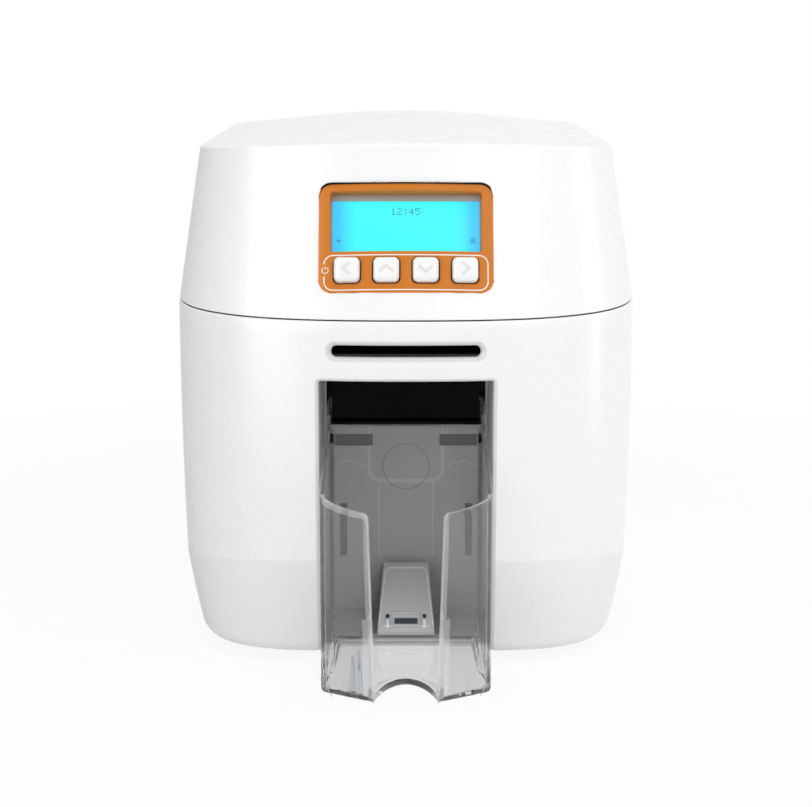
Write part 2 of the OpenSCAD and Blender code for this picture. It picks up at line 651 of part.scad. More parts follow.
// Printing film on its two spools
module spool(at) {
    tube(at, 12.5, 10, -30.5, 30.5);
    for (s = [-1, 1]) {
        rod(at, 10, s * 30.5 - 1, s * 30.5 + 1);
        rod(at, 4, s > 0 ? 31 : -plate_x - 3, s > 0 ? plate_x + 3 : -31);
    }
}
module supply_spool() color([0.9, 0.9, 0.88]) spool(supply_at);
film_r = 15.5;
module supply_film() color([0.1, 0.1, 0.14]) tube(supply_at, film_r, 12.5, -29, 29);
module take_up_spool() color([0.9, 0.9, 0.88]) spool(take_up_at);
film_t = 0.25;
film_z = path_z + 0.55;
film_line = [[supply_at[0] - film_r - 0.4, supply_at[1]], [supply_at[0] - film_r - 0.4, 121], [27, film_z],
    [21, film_z], [take_up_at[0] + 12.9, 121], [take_up_at[0] + 12.9, take_up_at[1]]];
module film_web() color([0.35, 0.12, 0.3]) {
    across(-29, 29) polygon(concat(film_line, [for (k = [5:-1:0])
        film_line[k] + film_t * [k < 2 ? -1 : k > 3 ? 1 : 0, 1]]));
}
module film_motor() color([0.3, 0.31, 0.33]) {
    rod(take_up_at, 11, -68, -plate_x - 3.6);
    across(-plate_x - 3.6, -plate_x - plate_t) translate(take_up_at) difference() {
        round_rect(34, 16, 3);
        circle(4.6);
    }
}

// Hopper for blank cards, with a sliding follower on the stack
hopper_y = [72, 72.6 + card_l];
hopper_top = 190;
follower_travel = 60;
module hopper_box() color([0.2, 0.21, 0.23]) {
    half = card_w / 2 + 0.4;
    difference() {
        box([-half - 2, hopper_y[0] - 2, path_z - 2.4], [half + 2, hopper_y[1] + 2, hopper_top]);
        box([-half, hopper_y[0], path_z - 0.4], [half, hopper_y[1], hopper_top + 1]);
        box([-half, hopper_y[0] - 5, path_z - 0.4], [half, hopper_y[0] + 1, path_z + 1]);
        box([-22, pick_at[0] - 11.6, 100], [22, pick_at[0] + 11.6, 130]);
        for (s = [-1, 1]) box([s > 0 ? half - 1 : -half - 3, 100, 150], [s > 0 ? half + 3 : -half + 1, 124, hopper_top + 1]);
    }
    for (s = [-1, 1]) box([s > 0 ? half + 2 : -plate_x, 84, 141], [s > 0 ? plate_x : -half - 2, 140, 144]);
}
module hopper_follower() color([0.9, 0.62, 0.2]) {
    box([-card_w / 2, hopper_y[0] + 0.5, path_z + 0.6], [card_w / 2, hopper_y[1] - 0.5, path_z + 3]);
    for (y = [90, 132]) box([-20, y, path_z + 3], [20, y + 2.4, path_z + 8]);
    translate([0, 112, path_z + 3]) {
        cylinder(r = 3, h = 14);
        translate([0, 0, 14]) cylinder(r = 8, h = 5);
    }
}

// Electronics at the rear
module main_board() color([0.1, 0.42, 0.22]) {
    box([-34, 22, board_z], [34, rear_y - 5, board_z + 1.6]);
    for (c = [[-20, 60, 14, 14, 2], [6, 60, 10, 10, 1.6], [-22, 100, 8, 12, 2], [12, 96, 18, 8, 3], [20, 40, 10, 16, 9]])
        box([c[0], c[1], board_z + 1.6], [c[0] + c[2], c[1] + c[3], board_z + 1.6 + c[4]]);
    for (c = [[-26, 126], [-14, 126], [26, 120], [26, 108]])
        translate([c[0], c[1], board_z + 1.6]) cylinder(r = 4.5, h = 12);
}
module socket_shell(k, depth) {
    x = socket_list[k];
    translate([x[0] - x[1] / 2, rear_y - 1 - depth, board_z + 1.6]) cube([x[1], depth, x[2]]);
}
module dc_socket() color([0.08, 0.08, 0.09]) {
    difference() {
        socket_shell(0, 13);
        translate([socket_list[0][0], rear_y + 1, board_z + 7.4]) rotate([90, 0, 0]) cylinder(r = 3.2, h = 11);
    }
    translate([socket_list[0][0], rear_y - 1.5, board_z + 7.4]) rotate([90, 0, 0]) cylinder(r = 1, h = 11.5);
}
module usb_socket() color([0.75, 0.76, 0.78]) {
    difference() {
        socket_shell(1, 16);
        along(rear_y - 10, rear_y + 1) translate([socket_list[1][0], board_z + 7.1]) square([8.6, 7.8], center = true);
    }
    along(rear_y - 14, rear_y - 2.5) translate([socket_list[1][0], board_z + 7.1]) square([5.6, 3.2], center = true);
}
module network_socket() color([0.62, 0.63, 0.65]) {
    difference() {
        socket_shell(2, 20);
        along(rear_y - 15, rear_y + 1) translate([socket_list[2][0], board_z + 8]) {
            square([11.8, 7], center = true);
            translate([0, -4.5]) square([6, 3.4], center = true);
        }
    }
}
module fan_frame() color([0.07, 0.07, 0.08]) {
    difference() {
        along(rear_y - 14.5, rear_y - 4.5) translate(fan_at) round_rect(40, 40, 3);
        along(rear_y - 13, rear_y - 2) translate(fan_at) circle(18.8);
        along(rear_y - 20, rear_y - 2) translate(fan_at) ring_2d(18.8, 12);
        for (a = [-16, 16]) for (b = [-16, 16]) along(rear_y - 20, rear_y - 2) translate(fan_at + [a, b]) circle(1.8);
    }
    for (t = [45:90:315]) along(rear_y - 14.5, rear_y - 13) translate(fan_at) rotate(t)
        translate([11, -1.2]) square([8.4, 2.4]);
    along(rear_y - 13.1, rear_y - 8) translate(fan_at) circle(2);
}
module fan_rotor() color([0.1, 0.1, 0.11]) {
    difference() {
        along(rear_y - 12.5, rear_y - 5.5) translate(fan_at) circle(11);
        along(rear_y - 20, rear_y - 7) translate(fan_at) circle(2 + fit);
    }
    for (i = [0:6]) translate([fan_at[0], rear_y - 9, fan_at[1]]) rotate([0, i * 360 / 7, 0])
        translate([10.6, 0, 0]) rotate([38, 0, 0]) translate([0, -3.4, -0.5]) cube([7.4, 6.8, 1]);
}
module hinge_rod() color([0.75, 0.76, 0.78]) rod(hinge_at, pin_r, -74, 74);
module base_screws() color([0.6, 0.61, 0.63]) {
    for (p = boss_at) translate([p[0], p[1], 0]) {
        translate([0, 0, 2.8]) cylinder(r = 2.8, h = base_z - 2.8);
        translate([0, 0, base_z - 0.5]) cylinder(r = 1.4, h = 12);
    }
}

// Lid and what is fixed to it
tab_x = 49;
module top_lid() color("white") {
    difference() {
        skin(lid_skin(), false);
        on_panel() panel_block(panel_w + 0.8, panel_h + 0.8, 5.8, -15, 20);
        box([-87, hinge_at[0] - 1, seam_z - 5], [87, rear_y + 5, hinge_at[1] + knuckle_r + 0.5]);
    }
    for (k = lid_knuckles) knuckle(k, 9);
    for (s = [-1, 1]) box([s * tab_x - 5, face_y(tab_x + 5, seam_z, 1.5), seam_z + 1], [s * tab_x + 5, latch_at[0] - 5, seam_z + 3]);
}
bezel_face = 0.8;
bezel_t = 2.4;
flange_y = 6.7;
module bow(depth) {
    translate([0, panel_bow + depth, 0]) cylinder(r = panel_bow, h = 80, center = true, $fn = 720);
}
module control_bezel() color([0.8, 0.49, 0.17]) {
    on_panel() {
        intersection() {
            difference() {
                panel_block(panel_w, panel_h, 5.4, -5, bezel_face + bezel_t);
                panel_block(window_w, window_h, 1.2, -10, 10, window_at);
                button_places() panel_block(button_w + 1.4, button_h + 1.4, 2.6, -10, 10);
            }
            bow(bezel_face);
        }
        difference() {
            panel_block(panel_w + 5, panel_h + 5, 7.6, flange_y - 1.4, flange_y);
            panel_block(panel_w - 5, panel_h - 4.6, 1.5, 0, 10);
        }
        difference() {
            panel_block(panel_w - 0.2, panel_h - 0.2, 5.3, bezel_face + 1, flange_y);
            panel_block(panel_w - 2.6, panel_h - 2.6, 4.1, 0, 10);
        }
    }
}
module display_frame() color([0.45, 0.5, 0.55]) {
    on_panel() difference() {
        panel_block(67, window_h + 2.4, 1, bezel_face + bezel_t, 8, window_at);
        panel_block(window_w - 1, window_h - 4.6, 0.8, 0, 10, window_at + [0, -1.6]);
    }
}
module lcd_module() color([0.25, 0.9, 1]) {
    on_panel() panel_block(67, window_h + 2, 1, 8, 11, window_at);
}
module control_board() color([0.1, 0.42, 0.22]) {
    on_panel() {
        panel_block(70, 44, 1, 11, 12.6);
        button_places() {
            panel_block(6, 6, 0.5, 8, 11);
            along(7.2, 8) circle(1.7);
        }
    }
}
module button() {
    panel_block(button_w, button_h, 2.2, -2.4, 4);
    panel_block(button_w + 3.2, button_h + 2.6, 2, 3.5, 4.7);
    along(4.6, 6) circle(2);
}
module button_left() color([0.95, 0.95, 0.95]) on_panel() translate([-1.5 * button_pitch, 0, button_row]) button();
module button_up() color([0.95, 0.95, 0.95]) on_panel() translate([-0.5 * button_pitch, 0, button_row]) button();
module button_down() color([0.95, 0.95, 0.95]) on_panel() translate([0.5 * button_pitch, 0, button_row]) button();
module button_right() color([0.95, 0.95, 0.95]) on_panel() translate([1.5 * button_pitch, 0, button_row]) button();
module control_cover() color([0.3, 0.31, 0.33]) {
    on_panel() difference() {
        panel_block(84, 56, 4, 6, 20);
        panel_block(80, 52, 2.5, 0, 18.4);
        panel_block(12, 6, 1, 17, 22, [20, -10]);
    }
    on_panel() for (x = [-38, 38]) for (z = [-20, 20]) panel_block(4.2, 4.2, 1, 12.6, 19, [x, z]);
}

// Clear card tray
tray_side_y = -155;
tray_front = -tray_reach + front_y;
tray_t = 2;
tray_half = 35;
tray_rear_z = 113;
tray_wing_z = [85.9, 81.3];
tray_floor_lo = 3;
tray_floor_hi = bay_floor + 0.4;
tray_rear = bay_back - 0.5;
wing_run = [tray_half - tray_gap, tray_side_y - tray_front];
wing_l = norm(wing_run);
wing_u = wing_run / wing_l;
wing_end = [tray_gap, tray_front] + tray_t * [-wing_u[1], wing_u[0]];
wing_root = wing_end + (tray_half - tray_t - wing_end[0]) / wing_u[0] * wing_u;
wing_flare = 2.8;
wing_r = 2.8;
wing_round = [wing_l - wing_flare - wing_r, tray_wing_z[1] - wing_r];
// Side and angled wing as one wall in plan, trimmed to their heights; the
// wing's free edge leans outward by wing_flare on the way up
module tray_wall() {
    intersection() {
        translate([0, 0, tray_floor_lo]) linear_extrude(tray_rear_z)
            polygon([[tray_half, tray_rear], [tray_half, tray_side_y], [tray_gap, tray_front],
                wing_end, wing_root, [tray_half - tray_t, tray_rear]]);
        union() {
            across(tray_half - tray_t - 1, tray_half + 1)
                polygon([[tray_rear, tray_floor_hi], [tray_rear, tray_rear_z], [tray_side_y - 0.6, tray_wing_z[0]],
                    [tray_side_y - 0.6, 0], [-99, 0], [-97, tray_floor_hi]]);
            translate([tray_half, tray_side_y, 0]) rotate([0, 0, 180 + atan2(wing_run[1], wing_run[0])])
                rotate([90, 0, 0]) translate([0, 0, -1]) linear_extrude(tray_t + 2)
                polygon(concat([[-1, 0], [wing_l, 0]],
                    [for (a = [0:15:90]) wing_round + wing_r * [cos(a), sin(a)]],
                    [[15, tray_wing_z[1] + 0.6], [10.7, tray_wing_z[1] + 1.4], [5, tray_wing_z[1] + 2.9],
                     [-1, tray_wing_z[0] - 0.1]]));
        }
    }
}
// Finger notch: an arc of an ellipse, as wide as the gap at the tip
notch_deep = 20.5;
notch_turn = 55;
function notch_at(a) = [tray_gap * sin(a) / sin(notch_turn),
    tray_front + notch_deep * (cos(a) - cos(notch_turn)) / (1 - cos(notch_turn))];
module tray_floor_front() {
    translate([0, 0, tray_floor_lo]) linear_extrude(tray_t) difference() {
        polygon([[-tray_half, -97.5], [-tray_half, tray_side_y], [-tray_gap, tray_front], [tray_gap, tray_front],
            [tray_half, tray_side_y], [tray_half, -97.5]]);
        polygon(concat([[-tray_gap, tray_front - 5]],
            [for (a = [-notch_turn:notch_turn / 9:notch_turn]) notch_at(a)],
            [[tray_gap, tray_front - 5]]));
    }
}
module card_tray() color([0.7, 0.75, 0.78, 0.45]) {
    for (s = [0, 1]) mirror([s, 0, 0]) {
        tray_wall();
        across(tray_gap + 0.3, tray_gap + 1.9) polygon([[tray_front + 0.6, 5], [tray_front + 0.6, 40],
            [tray_front + 4, 36], [tray_front + 7, 22], [tray_front + 16, 5]]);
    }
    tray_floor_front();
    difference() {
        box([-tray_half, -99, tray_floor_hi], [tray_half, tray_rear, tray_floor_hi + tray_t]);
        box([-15, -95, 0], [15, bay_back, 20]);
    }
    across(-tray_half, tray_half) polygon([[-99, tray_floor_lo], [-97, tray_floor_lo],
        [-97, tray_floor_hi + tray_t], [-99, tray_floor_hi + tray_t]]);
}
// Catch at the foot of the bay: a tongue that widens toward its nose and
// covers its own pivot, window and two small holes near the nose
catch_at = [bay_back - 3, 27];
catch_r = 1.6;
lug_x = 7.6;
lug_t = 2;
lug_r = 3.2;
catch_half = [9.9, 12.6];
module tray_catch() color([0.6, 0.61, 0.63]) {
    difference() {
        union() {
            intersection() {
                across(-14, 14) polygon([[-62.8, 32.2], [-64.4, 32], [-66, 31], [-92.6, 10.8], [-93.8, 9],
                    [-93.8, 6.8], [-91.6, 6.8], [-91.4, 9.3], [-64.9, 29.5], [-62.8, 30.6]]);
                linear_extrude(40) polygon([[-catch_half[0], -62], [-catch_half[1], -94],
                    [catch_half[1], -94], [catch_half[0], -62]]);
            }
            for (x = [-lug_x + 0.4, lug_x - 3.4]) across(x, x + 3)
                polygon([[-61, 28.4], [-63.5, 30.8], [-65.5, 30.2], [-80, 19.2], [-79, 18.2], [-61, 25.6]]);
            rod(catch_at, catch_r, -lug_x - lug_t - 0.3, lug_x + lug_t + 0.3);
        }
        box([-5.1, -91.2, 0], [5.1, -87.7, 30]);
        for (s = [-1, 1]) translate([s * 8.25, -87.9, 0]) cylinder(r = 0.9, h = 30);
    }
}
module latch_bar() color([0.4, 0.41, 0.43]) {
    rod(latch_at, latch_r, -62, 62);
    for (s = [-1, 1]) box([s * tab_x - 4, latch_at[0] - 1.5, latch_at[1]], [s * tab_x + 4, latch_at[0] + 1.5, seam_z + 8]);
    for (s = [-1, 1]) box([s * tab_x - 4, latch_at[0] - 4, seam_z + 4.5], [s * tab_x + 4, latch_at[0], seam_z + 8]);
}

lower_housing();
base_plate();
rubber_feet();
rear_panel();
tray_bay();
exit_frame();
feed_chute();
chassis_left();
chassis_right();
card_deck();
shaft_bushings();
head_bridge();
drive_motor();
film_motor();
main_board();
dc_socket();
usb_socket();
network_socket();
fan_frame();
hopper_box();
hinge_rod();
base_screws();
pick_belt();
film_web();
top_lid();
control_bezel();
display_frame();
lcd_module();
control_board();
control_cover();
button_left();
button_up();
button_down();
button_right();
card_tray();
tray_catch();
latch_bar();
exit_roller();
exit_tyres();
feed_roller();
feed_tyres();
pick_roller();
pick_tyres();
platen_shaft();
platen_rubber();
platen_gear();
exit_pinch();
cleaning_roller();
idler_front();
idler_rear();
motor_pinion();
head_carriage();
printhead();
head_springs();
cam_shaft();
supply_spool();
supply_film();
take_up_spool();
fan_rotor();
hopper_follower();
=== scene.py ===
"""Desktop card printer: the looks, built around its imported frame.

Lengths in the sections are millimetres, as on a drawing; piece() turns them into metres.
"""

import json
import math

import bmesh
import bpy
import numpy as np
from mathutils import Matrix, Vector
from mathutils.geometry import delaunay_2d_cdt

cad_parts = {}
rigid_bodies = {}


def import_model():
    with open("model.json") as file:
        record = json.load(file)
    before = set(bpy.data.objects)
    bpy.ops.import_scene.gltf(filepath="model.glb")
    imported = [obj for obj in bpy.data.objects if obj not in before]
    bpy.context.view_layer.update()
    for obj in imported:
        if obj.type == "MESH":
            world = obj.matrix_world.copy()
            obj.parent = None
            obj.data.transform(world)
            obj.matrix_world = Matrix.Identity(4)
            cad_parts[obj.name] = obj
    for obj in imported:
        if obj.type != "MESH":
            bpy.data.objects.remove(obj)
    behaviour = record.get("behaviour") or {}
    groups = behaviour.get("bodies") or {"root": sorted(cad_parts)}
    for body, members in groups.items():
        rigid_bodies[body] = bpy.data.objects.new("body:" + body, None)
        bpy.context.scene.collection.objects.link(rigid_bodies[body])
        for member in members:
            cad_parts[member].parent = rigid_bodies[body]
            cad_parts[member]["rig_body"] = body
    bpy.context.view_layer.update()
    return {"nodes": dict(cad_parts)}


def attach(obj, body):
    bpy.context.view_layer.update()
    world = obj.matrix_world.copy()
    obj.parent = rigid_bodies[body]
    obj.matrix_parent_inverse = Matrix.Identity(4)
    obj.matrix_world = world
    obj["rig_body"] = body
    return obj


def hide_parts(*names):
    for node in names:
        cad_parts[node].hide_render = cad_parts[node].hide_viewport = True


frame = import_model()
scene = bpy.context.scene

# Camera
# It stands 0.78 m in front of the printer, level with a seated user's eyes,
# and looks down a little onto the control panel and the card tray.
FRAME_PX = 812
FOCAL_PX = 1917
CAMERA_AT = (0.0, -0.905, 0.274)
CAMERA_DIP = 11.3

lens = bpy.data.cameras.new("camera")
lens.sensor_width = 36
lens.lens = FOCAL_PX * lens.sensor_width / FRAME_PX
camera = bpy.data.objects.new("camera", lens)
camera.location = CAMERA_AT
camera.rotation_euler = (math.radians(90 - CAMERA_DIP), 0, 0)
scene.collection.objects.link(camera)
scene.camera = camera
scene.view_settings.view_transform = "Standard"

# Floor and light
# A pale table top that keeps the shadow and fades into the white background,
# which gloss reflects except low at the left. Large soft lamps light the
# printer, and a soft box at the left shows only as a reflection.
TABLE_HALF = 40.0
TABLE_COLOUR = (0.93, 0.93, 0.93, 1)
TABLE_GLOW = 0.9
FADE = (0.22, 0.6)
AMBIENT = 0.45
LEFT_FADE = (3.0, 1.3)
LOW_FADE = (4.0, 0.2)
LAMPS = [
    ("key", (0.75, -1.5, 1.05), (1.3, 1.3), 9.0, True),
    ("fill", (-1.0, -1.3, 0.65), (1.0, 1.0), 5.5, True),
    ("top", (0.1, -0.25, 1.7), (1.4, 1.4), 7.6, True),
    ("right_box", (1.3, 0.03, 0.4), (0.16, 1.2), 3.5, True),
    ("left_box", (-0.98, -0.92, 0.39), (0.8, 1.1), 11, False),
]
LAMP_AIM = Vector((0, 0, 0.12))


class Wire:
    """One output of a shader node; arithmetic on wires and numbers adds Math nodes."""

    def __init__(self, tree, socket=None):
        self.tree = tree
        self.socket = socket

    def node(self, kind, settings=None, sockets=None, out=0):
        """Adds a node of a kind, sets its settings, then the values or links of its sockets."""
        made = self.tree.nodes.new("ShaderNode" + kind)
        for name, value in (settings or {}).items():
            if name == "stops":
                elements = made.color_ramp.elements
                while len(elements) < len(value):
                    elements.new(1.0)
                for element, (position, colour) in zip(elements, value):
                    element.position = position
                    element.color = colour
            else:
                setattr(made, name, value)
        for name, value in (sockets or {}).items():
            if isinstance(value, Wire):
                self.tree.links.new(value.socket, made.inputs[name])
            else:
                made.inputs[name].default_value = value
        return Wire(self.tree, made.outputs[out])

    def pick(self, name):
        """Another output of the same node."""
        return Wire(self.tree, self.socket.node.outputs[name])

    def math(self, operation, *values):
        return self.node("Math", {"operation": operation}, dict(enumerate((self, *values))))

    def __add__(self, other):
        return self.math("ADD", other)

    def __mul__(self, other):
        return self.math("MULTIPLY", other)

    def __sub__(self, other):
        return self.math("SUBTRACT", other)

    def blend(self, share, low, high):
        """A colour between two by a share."""
        return self.node("Mix", {"data_type": "RGBA"}, {0: share, 6: low, 7: high}, out=2)

    def bump(self, height, distance, strength):
        """A normal tilted by a height of the given distance, in metres."""
        return self.node("Bump", sockets={
            "Height": height, "Distance": distance, "Strength": strength})

    def ends(self, kind="ShaderNodeOutputMaterial"):
        """Feeds this shader to the tree's output node."""
        made = self.tree.nodes.new(kind)
        self.tree.links.new(self.socket, made.inputs["Surface"])


def empty_tree(owner):
    owner.use_nodes = True
    owner.node_tree.nodes.clear()
    return Wire(owner.node_tree)


def new_look(name):
    """A material, the start of its empty tree and its object coordinates."""
    look = bpy.data.materials.new(name)
    start = empty_tree(look)
    return look, start, start.node("TexCoord", out="Object")


start = empty_tree(bpy.data.worlds.new("studio"))
scene.world = bpy.data.worlds["studio"]
path = start.node("LightPath", out="Is Camera Ray")
way = start.node("SeparateXYZ", sockets={0: start.node("TexCoord", out="Generated")})
right = (way * LEFT_FADE[0] + LEFT_FADE[1]).math("MAXIMUM", 0.0)
over = (way.pick("Z") * LOW_FADE[0] - LOW_FADE[1]).math("MAXIMUM", right)
over = over.math("MINIMUM", 1.0)
seen = path + path.pick("Is Transmission Ray") + over * path.pick("Is Glossy Ray")
seen = seen.math("MINIMUM", 1.0)
soft = start.node("Background", sockets={"Color": (1, 1, 1, 1), "Strength": AMBIENT})
white = start.node("Background", sockets={"Color": (1, 1, 1, 1), "Strength": 1.0})
start.node("MixShader", sockets={0: seen, 1: soft, 2: white}).ends("ShaderNodeOutputWorld")

table_look, start, place = new_look("table")
path = start.node("LightPath", out="Is Camera Ray")
seen = (path + path.pick("Is Transmission Ray")).math("MINIMUM", 1.0)
far = start.node("VectorMath", {"operation": "LENGTH"}, {0: place}, out=1)
fade = start.node("MapRange", {"interpolation_type": "SMOOTHSTEP"}, {
    "Value": far, "From Min": FADE[0], "From Max": FADE[1], "To Min": TABLE_GLOW, "To Max": 1.0})
seen = seen * fade
matt = start.node("BsdfDiffuse", sockets={"Color": TABLE_COLOUR})
glow = start.node("Emission", sockets={"Color": (1, 1, 1, 1), "Strength": 1.0})
start.node("MixShader", sockets={0: seen, 1: matt, 2: glow}).ends()

table_mesh = bpy.data.meshes.new("table")
corners = [(x * TABLE_HALF, y * TABLE_HALF, 0) for x, y in ((-1, -1), (1, -1), (1, 1), (-1, 1))]
table_mesh.from_pydata(corners, [], [(0, 1, 2, 3)])
table_mesh.materials.append(table_look)
table = bpy.data.objects.new("table", table_mesh)
scene.collection.objects.link(table)
table.visible_glossy = False

for name, place, size, power, lights in LAMPS:
    lamp = bpy.data.lights.new(name, "AREA")
    lamp.shape = "RECTANGLE"
    lamp.size, lamp.size_y = size
    lamp.energy = power
    holder = bpy.data.objects.new(name, lamp)
    holder.location = place
    holder.rotation_euler = (LAMP_AIM - Vector(place)).to_track_quat("-Z", "Y").to_euler()
    holder.visible_diffuse = lights
    scene.collection.objects.link(holder)

# Lower housing
# Injection-moulded satin white plastic, 2.5 mm thick and open at the back,
# with the tray opening and the hand-feed slot moulded in its rounded front.
WHITE = (0.90, 0.90, 0.905)
SATIN = {"grain": 0.5, "relief": 0.005, "mottle": 0.006, "uneven": 0.012}
CASING_W = 205
FRONT_Y = -127
REAR_Y = 168
PLAN_N = 2.7
PLAN_B = 98
CENTRE_Y = FRONT_Y + PLAN_B
NOSE_BELLY = 3
SIDE_BELLY = 1.7
FRONT_LEAN = 0.36
SIDE_LEAN = 0.15
REAR_LEAN = 0.03
CORNER_R = 32
GIRTH_Z = 128
BASE_Z = 5
SEAM_Z = 152.6
LEAN_Z = 151
RIM_Z = 219
WALL = 2.5
BASE_ROUND = 5
BASE_N = 4.4
CREASE_Z = 50
CREASE_FALL = 0.19
CREASE_LOW = BASE_Z + BASE_ROUND + 1
CREASE_TAPER = 0.23
CREASE_HALF = 0.5
EDGE_R = 0.5
EDGE_ROWS = (0, 0.03, 0.12, 0.28, 0.5)
BAY_W = 73.5
BAY_TOP = 127.5
BAY_CORNER = 1.0
BAY_LIP = 1.2
BAY = (0, BAY_TOP / 2 - 10, BAY_W, BAY_TOP + 20, BAY_CORNER)
SLOT = (0, 140.1, 63, 4.7, 2.3)
SLOT_LIP = 1.9
REAR_HOLE = (0, 77, 128, 122, 3)
SPANS = [330, 165, 50, 141, 50, 165]
KNOTS = np.concatenate([[0], np.cumsum(SPANS)])
GRID = 3.2
ELSEWHERE = 1000
FRONT_TURNS = (0.2, 0.8)
REAR_TURNS = (3, 4)
LIP_STEPS = (0, 0.06, 0.25, 0.55, 1.0)
LIP_CLEAR = 0.8
LIP_SHADE = 0.94
HOLE_CLEAR = 1.2


def finish(name, colour, roughness, grain=0.3, relief=0.02, mottle=0.02, metallic=0.0,
           stretch=(1, 1, 1), uneven=0.12, specular=0.5):
    """A finish for moulded, rolled or turned stock: broad noise mottles the colour and makes
    the gloss uneven; noise of the grain's size, in millimetres, raises the relief."""
    look, start, place = new_look(name)
    place = start.node("Mapping", sockets={"Vector": place, "Scale": stretch})
    broad = start.node("TexNoise", sockets={"Vector": place, "Scale": 40.0, "Detail": 3.0})
    fine = start.node("TexNoise", sockets={"Vector": place, "Scale": 1000 / grain, "Detail": 2.0})
    darker = tuple(c * (1 - mottle) for c in colour) + (1,)
    lighter = tuple(min(c * (1 + mottle), 1) for c in colour) + (1,)
    tint = start.blend(broad, darker, lighter)
    gloss = (broad - 0.5) * uneven + (fine - 0.5) * 0.08 + roughness
    bump = start.bump(fine, relief / 1000, 0.6)
    start.node("BsdfPrincipled", sockets={
        "Base Color": tint, "Roughness": gloss, "Metallic": metallic, "Normal": bump,
        "Specular IOR Level": specular}).ends()
    return look


def piece(name, points, faces, body, slot, look, crisp=35, inner=0.0, thinner=None, edge=0.0):
    """Millimetre points and their faces become one mesh piece that rides on a body. Doubles
    are merged and normals turned outward; inner is the thickness of a wall grown inward,
    thinner gives shares of it by place, edges over 40 degrees are rounded by edge, and those
    sharper than crisp degrees stay sharp."""
    mesh = bpy.data.meshes.new(name)
    mesh.from_pydata((np.asarray(points, float) / 1000).tolist(), [], [list(f) for f in faces])
    work = bmesh.new()
    work.from_mesh(mesh)
    bmesh.ops.remove_doubles(work, verts=work.verts, dist=5e-6)
    bmesh.ops.recalc_face_normals(work, faces=work.faces)
    work.to_mesh(mesh)
    work.free()
    made = bpy.data.objects.new(name, mesh)
    scene.collection.objects.link(made)
    if inner:
        wall = made.modifiers.new("wall", "SOLIDIFY")
        wall.thickness = inner / 1000
        wall.offset = -1
        wall.use_even_offset = True
        if thinner:
            places = np.zeros(len(mesh.vertices) * 3)
            mesh.vertices.foreach_get("co", places)
            group = made.vertex_groups.new(name="share")
            for k, share in enumerate(thinner(places.reshape(-1, 3)).tolist()):
                group.add([k], share, "REPLACE")
            wall.vertex_group = "share"
    if edge:
        bevel = made.modifiers.new("edge", "BEVEL")
        bevel.width = edge / 1000
        bevel.segments = 2
        bevel.limit_method = "ANGLE"
        bevel.angle_limit = math.radians(40)
        bevel.use_clamp_overlap = not inner
    if inner or edge:
        shaped = bpy.data.meshes.new_from_object(
            made.evaluated_get(bpy.context.evaluated_depsgraph_get()))
        made.modifiers.clear()
        made.data = shaped
        shaped.name = name
        shaped.validate()
    made.data.shade_smooth()
    made.data.set_sharp_from_angle(angle=math.radians(crisp))
    made.data.materials.clear()
    made.data.materials.append(look)
    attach(made, body)
    return made


def second_look(made, look, chosen):
    """Gives the faces that chosen picks, from middles in millimetres and normals, a look of
    their own."""
    faces = made.data.polygons
    rows = np.zeros((3, len(faces) * 3))
    faces.foreach_get("center", rows[0])
    faces.foreach_get("normal", rows[1])
    picked = chosen(rows[0].reshape(-1, 3) * 1000, rows[1].reshape(-1, 3))
    kinds = np.zeros(len(faces), np.int32)
    faces.foreach_get("material_index", kinds)
    kinds[picked] = len(made.data.materials)
    made.data.materials.append(look)
    faces.foreach_set("material_index", kinds)


def below(z):
    return (np.maximum(GIRTH_Z - z, 0) / 100) ** 2


def outline(s, z, inset=0.0, power=PLAN_N):
    """Casing's plan at height z, moved inward by inset. s runs from 0 to 1 round the
    superellipse of the front, of the given power, by polar angle, then along the left side,
    the rear corner, the rear, the other corner and the right side, one unit each."""
    s, z, inset, power = np.broadcast_arrays(s, z, inset, power)
    above = np.maximum(z - LEAN_Z, 0)
    side = CASING_W / 2 - SIDE_BELLY * below(z) - SIDE_LEAN * above
    nose = PLAN_B - NOSE_BELLY * below(z) - FRONT_LEAN * above
    back = REAR_Y - REAR_LEAN * above
    turn = math.pi * np.clip(s, 0, 1)
    cos, sin = np.cos(turn), np.sin(turn)
    reach = np.abs(cos / (side - inset)) ** power + np.abs(sin / (nose - inset)) ** power
    reach = reach ** (-1 / power)
    corner_x, corner_y = side - CORNER_R, back - CORNER_R
    round_r = CORNER_R - inset
    left, right = (3 - s) * math.pi / 2 + math.pi / 2, (5 - s) * math.pi / 2
    zones = [s <= 1, s <= 2, s <= 3, s <= 4, s <= 5]
    x = np.select(zones, [reach * cos, inset - side, round_r * np.cos(left) - corner_x,
                          corner_x * (2 * s - 7), round_r * np.cos(right) + corner_x],
                  side - inset)
    y = np.select(zones, [CENTRE_Y - reach * sin, CENTRE_Y + (corner_y - CENTRE_Y) * (s - 1),
                          corner_y + round_r * np.sin(left), back - inset,
                          corner_y + round_r * np.sin(right)],
                  corner_y + (CENTRE_Y - corner_y) * (s - 5))
    return x, y


def crease_line(y, top=CREASE_Z):
    """Height of the crease, straight down towards the rear, by the seam's depth there."""
    return top - CREASE_FALL * (y - FRONT_Y)


def crease(s):
    return np.maximum(crease_line(outline(s, SEAM_Z)[1]), CREASE_LOW)


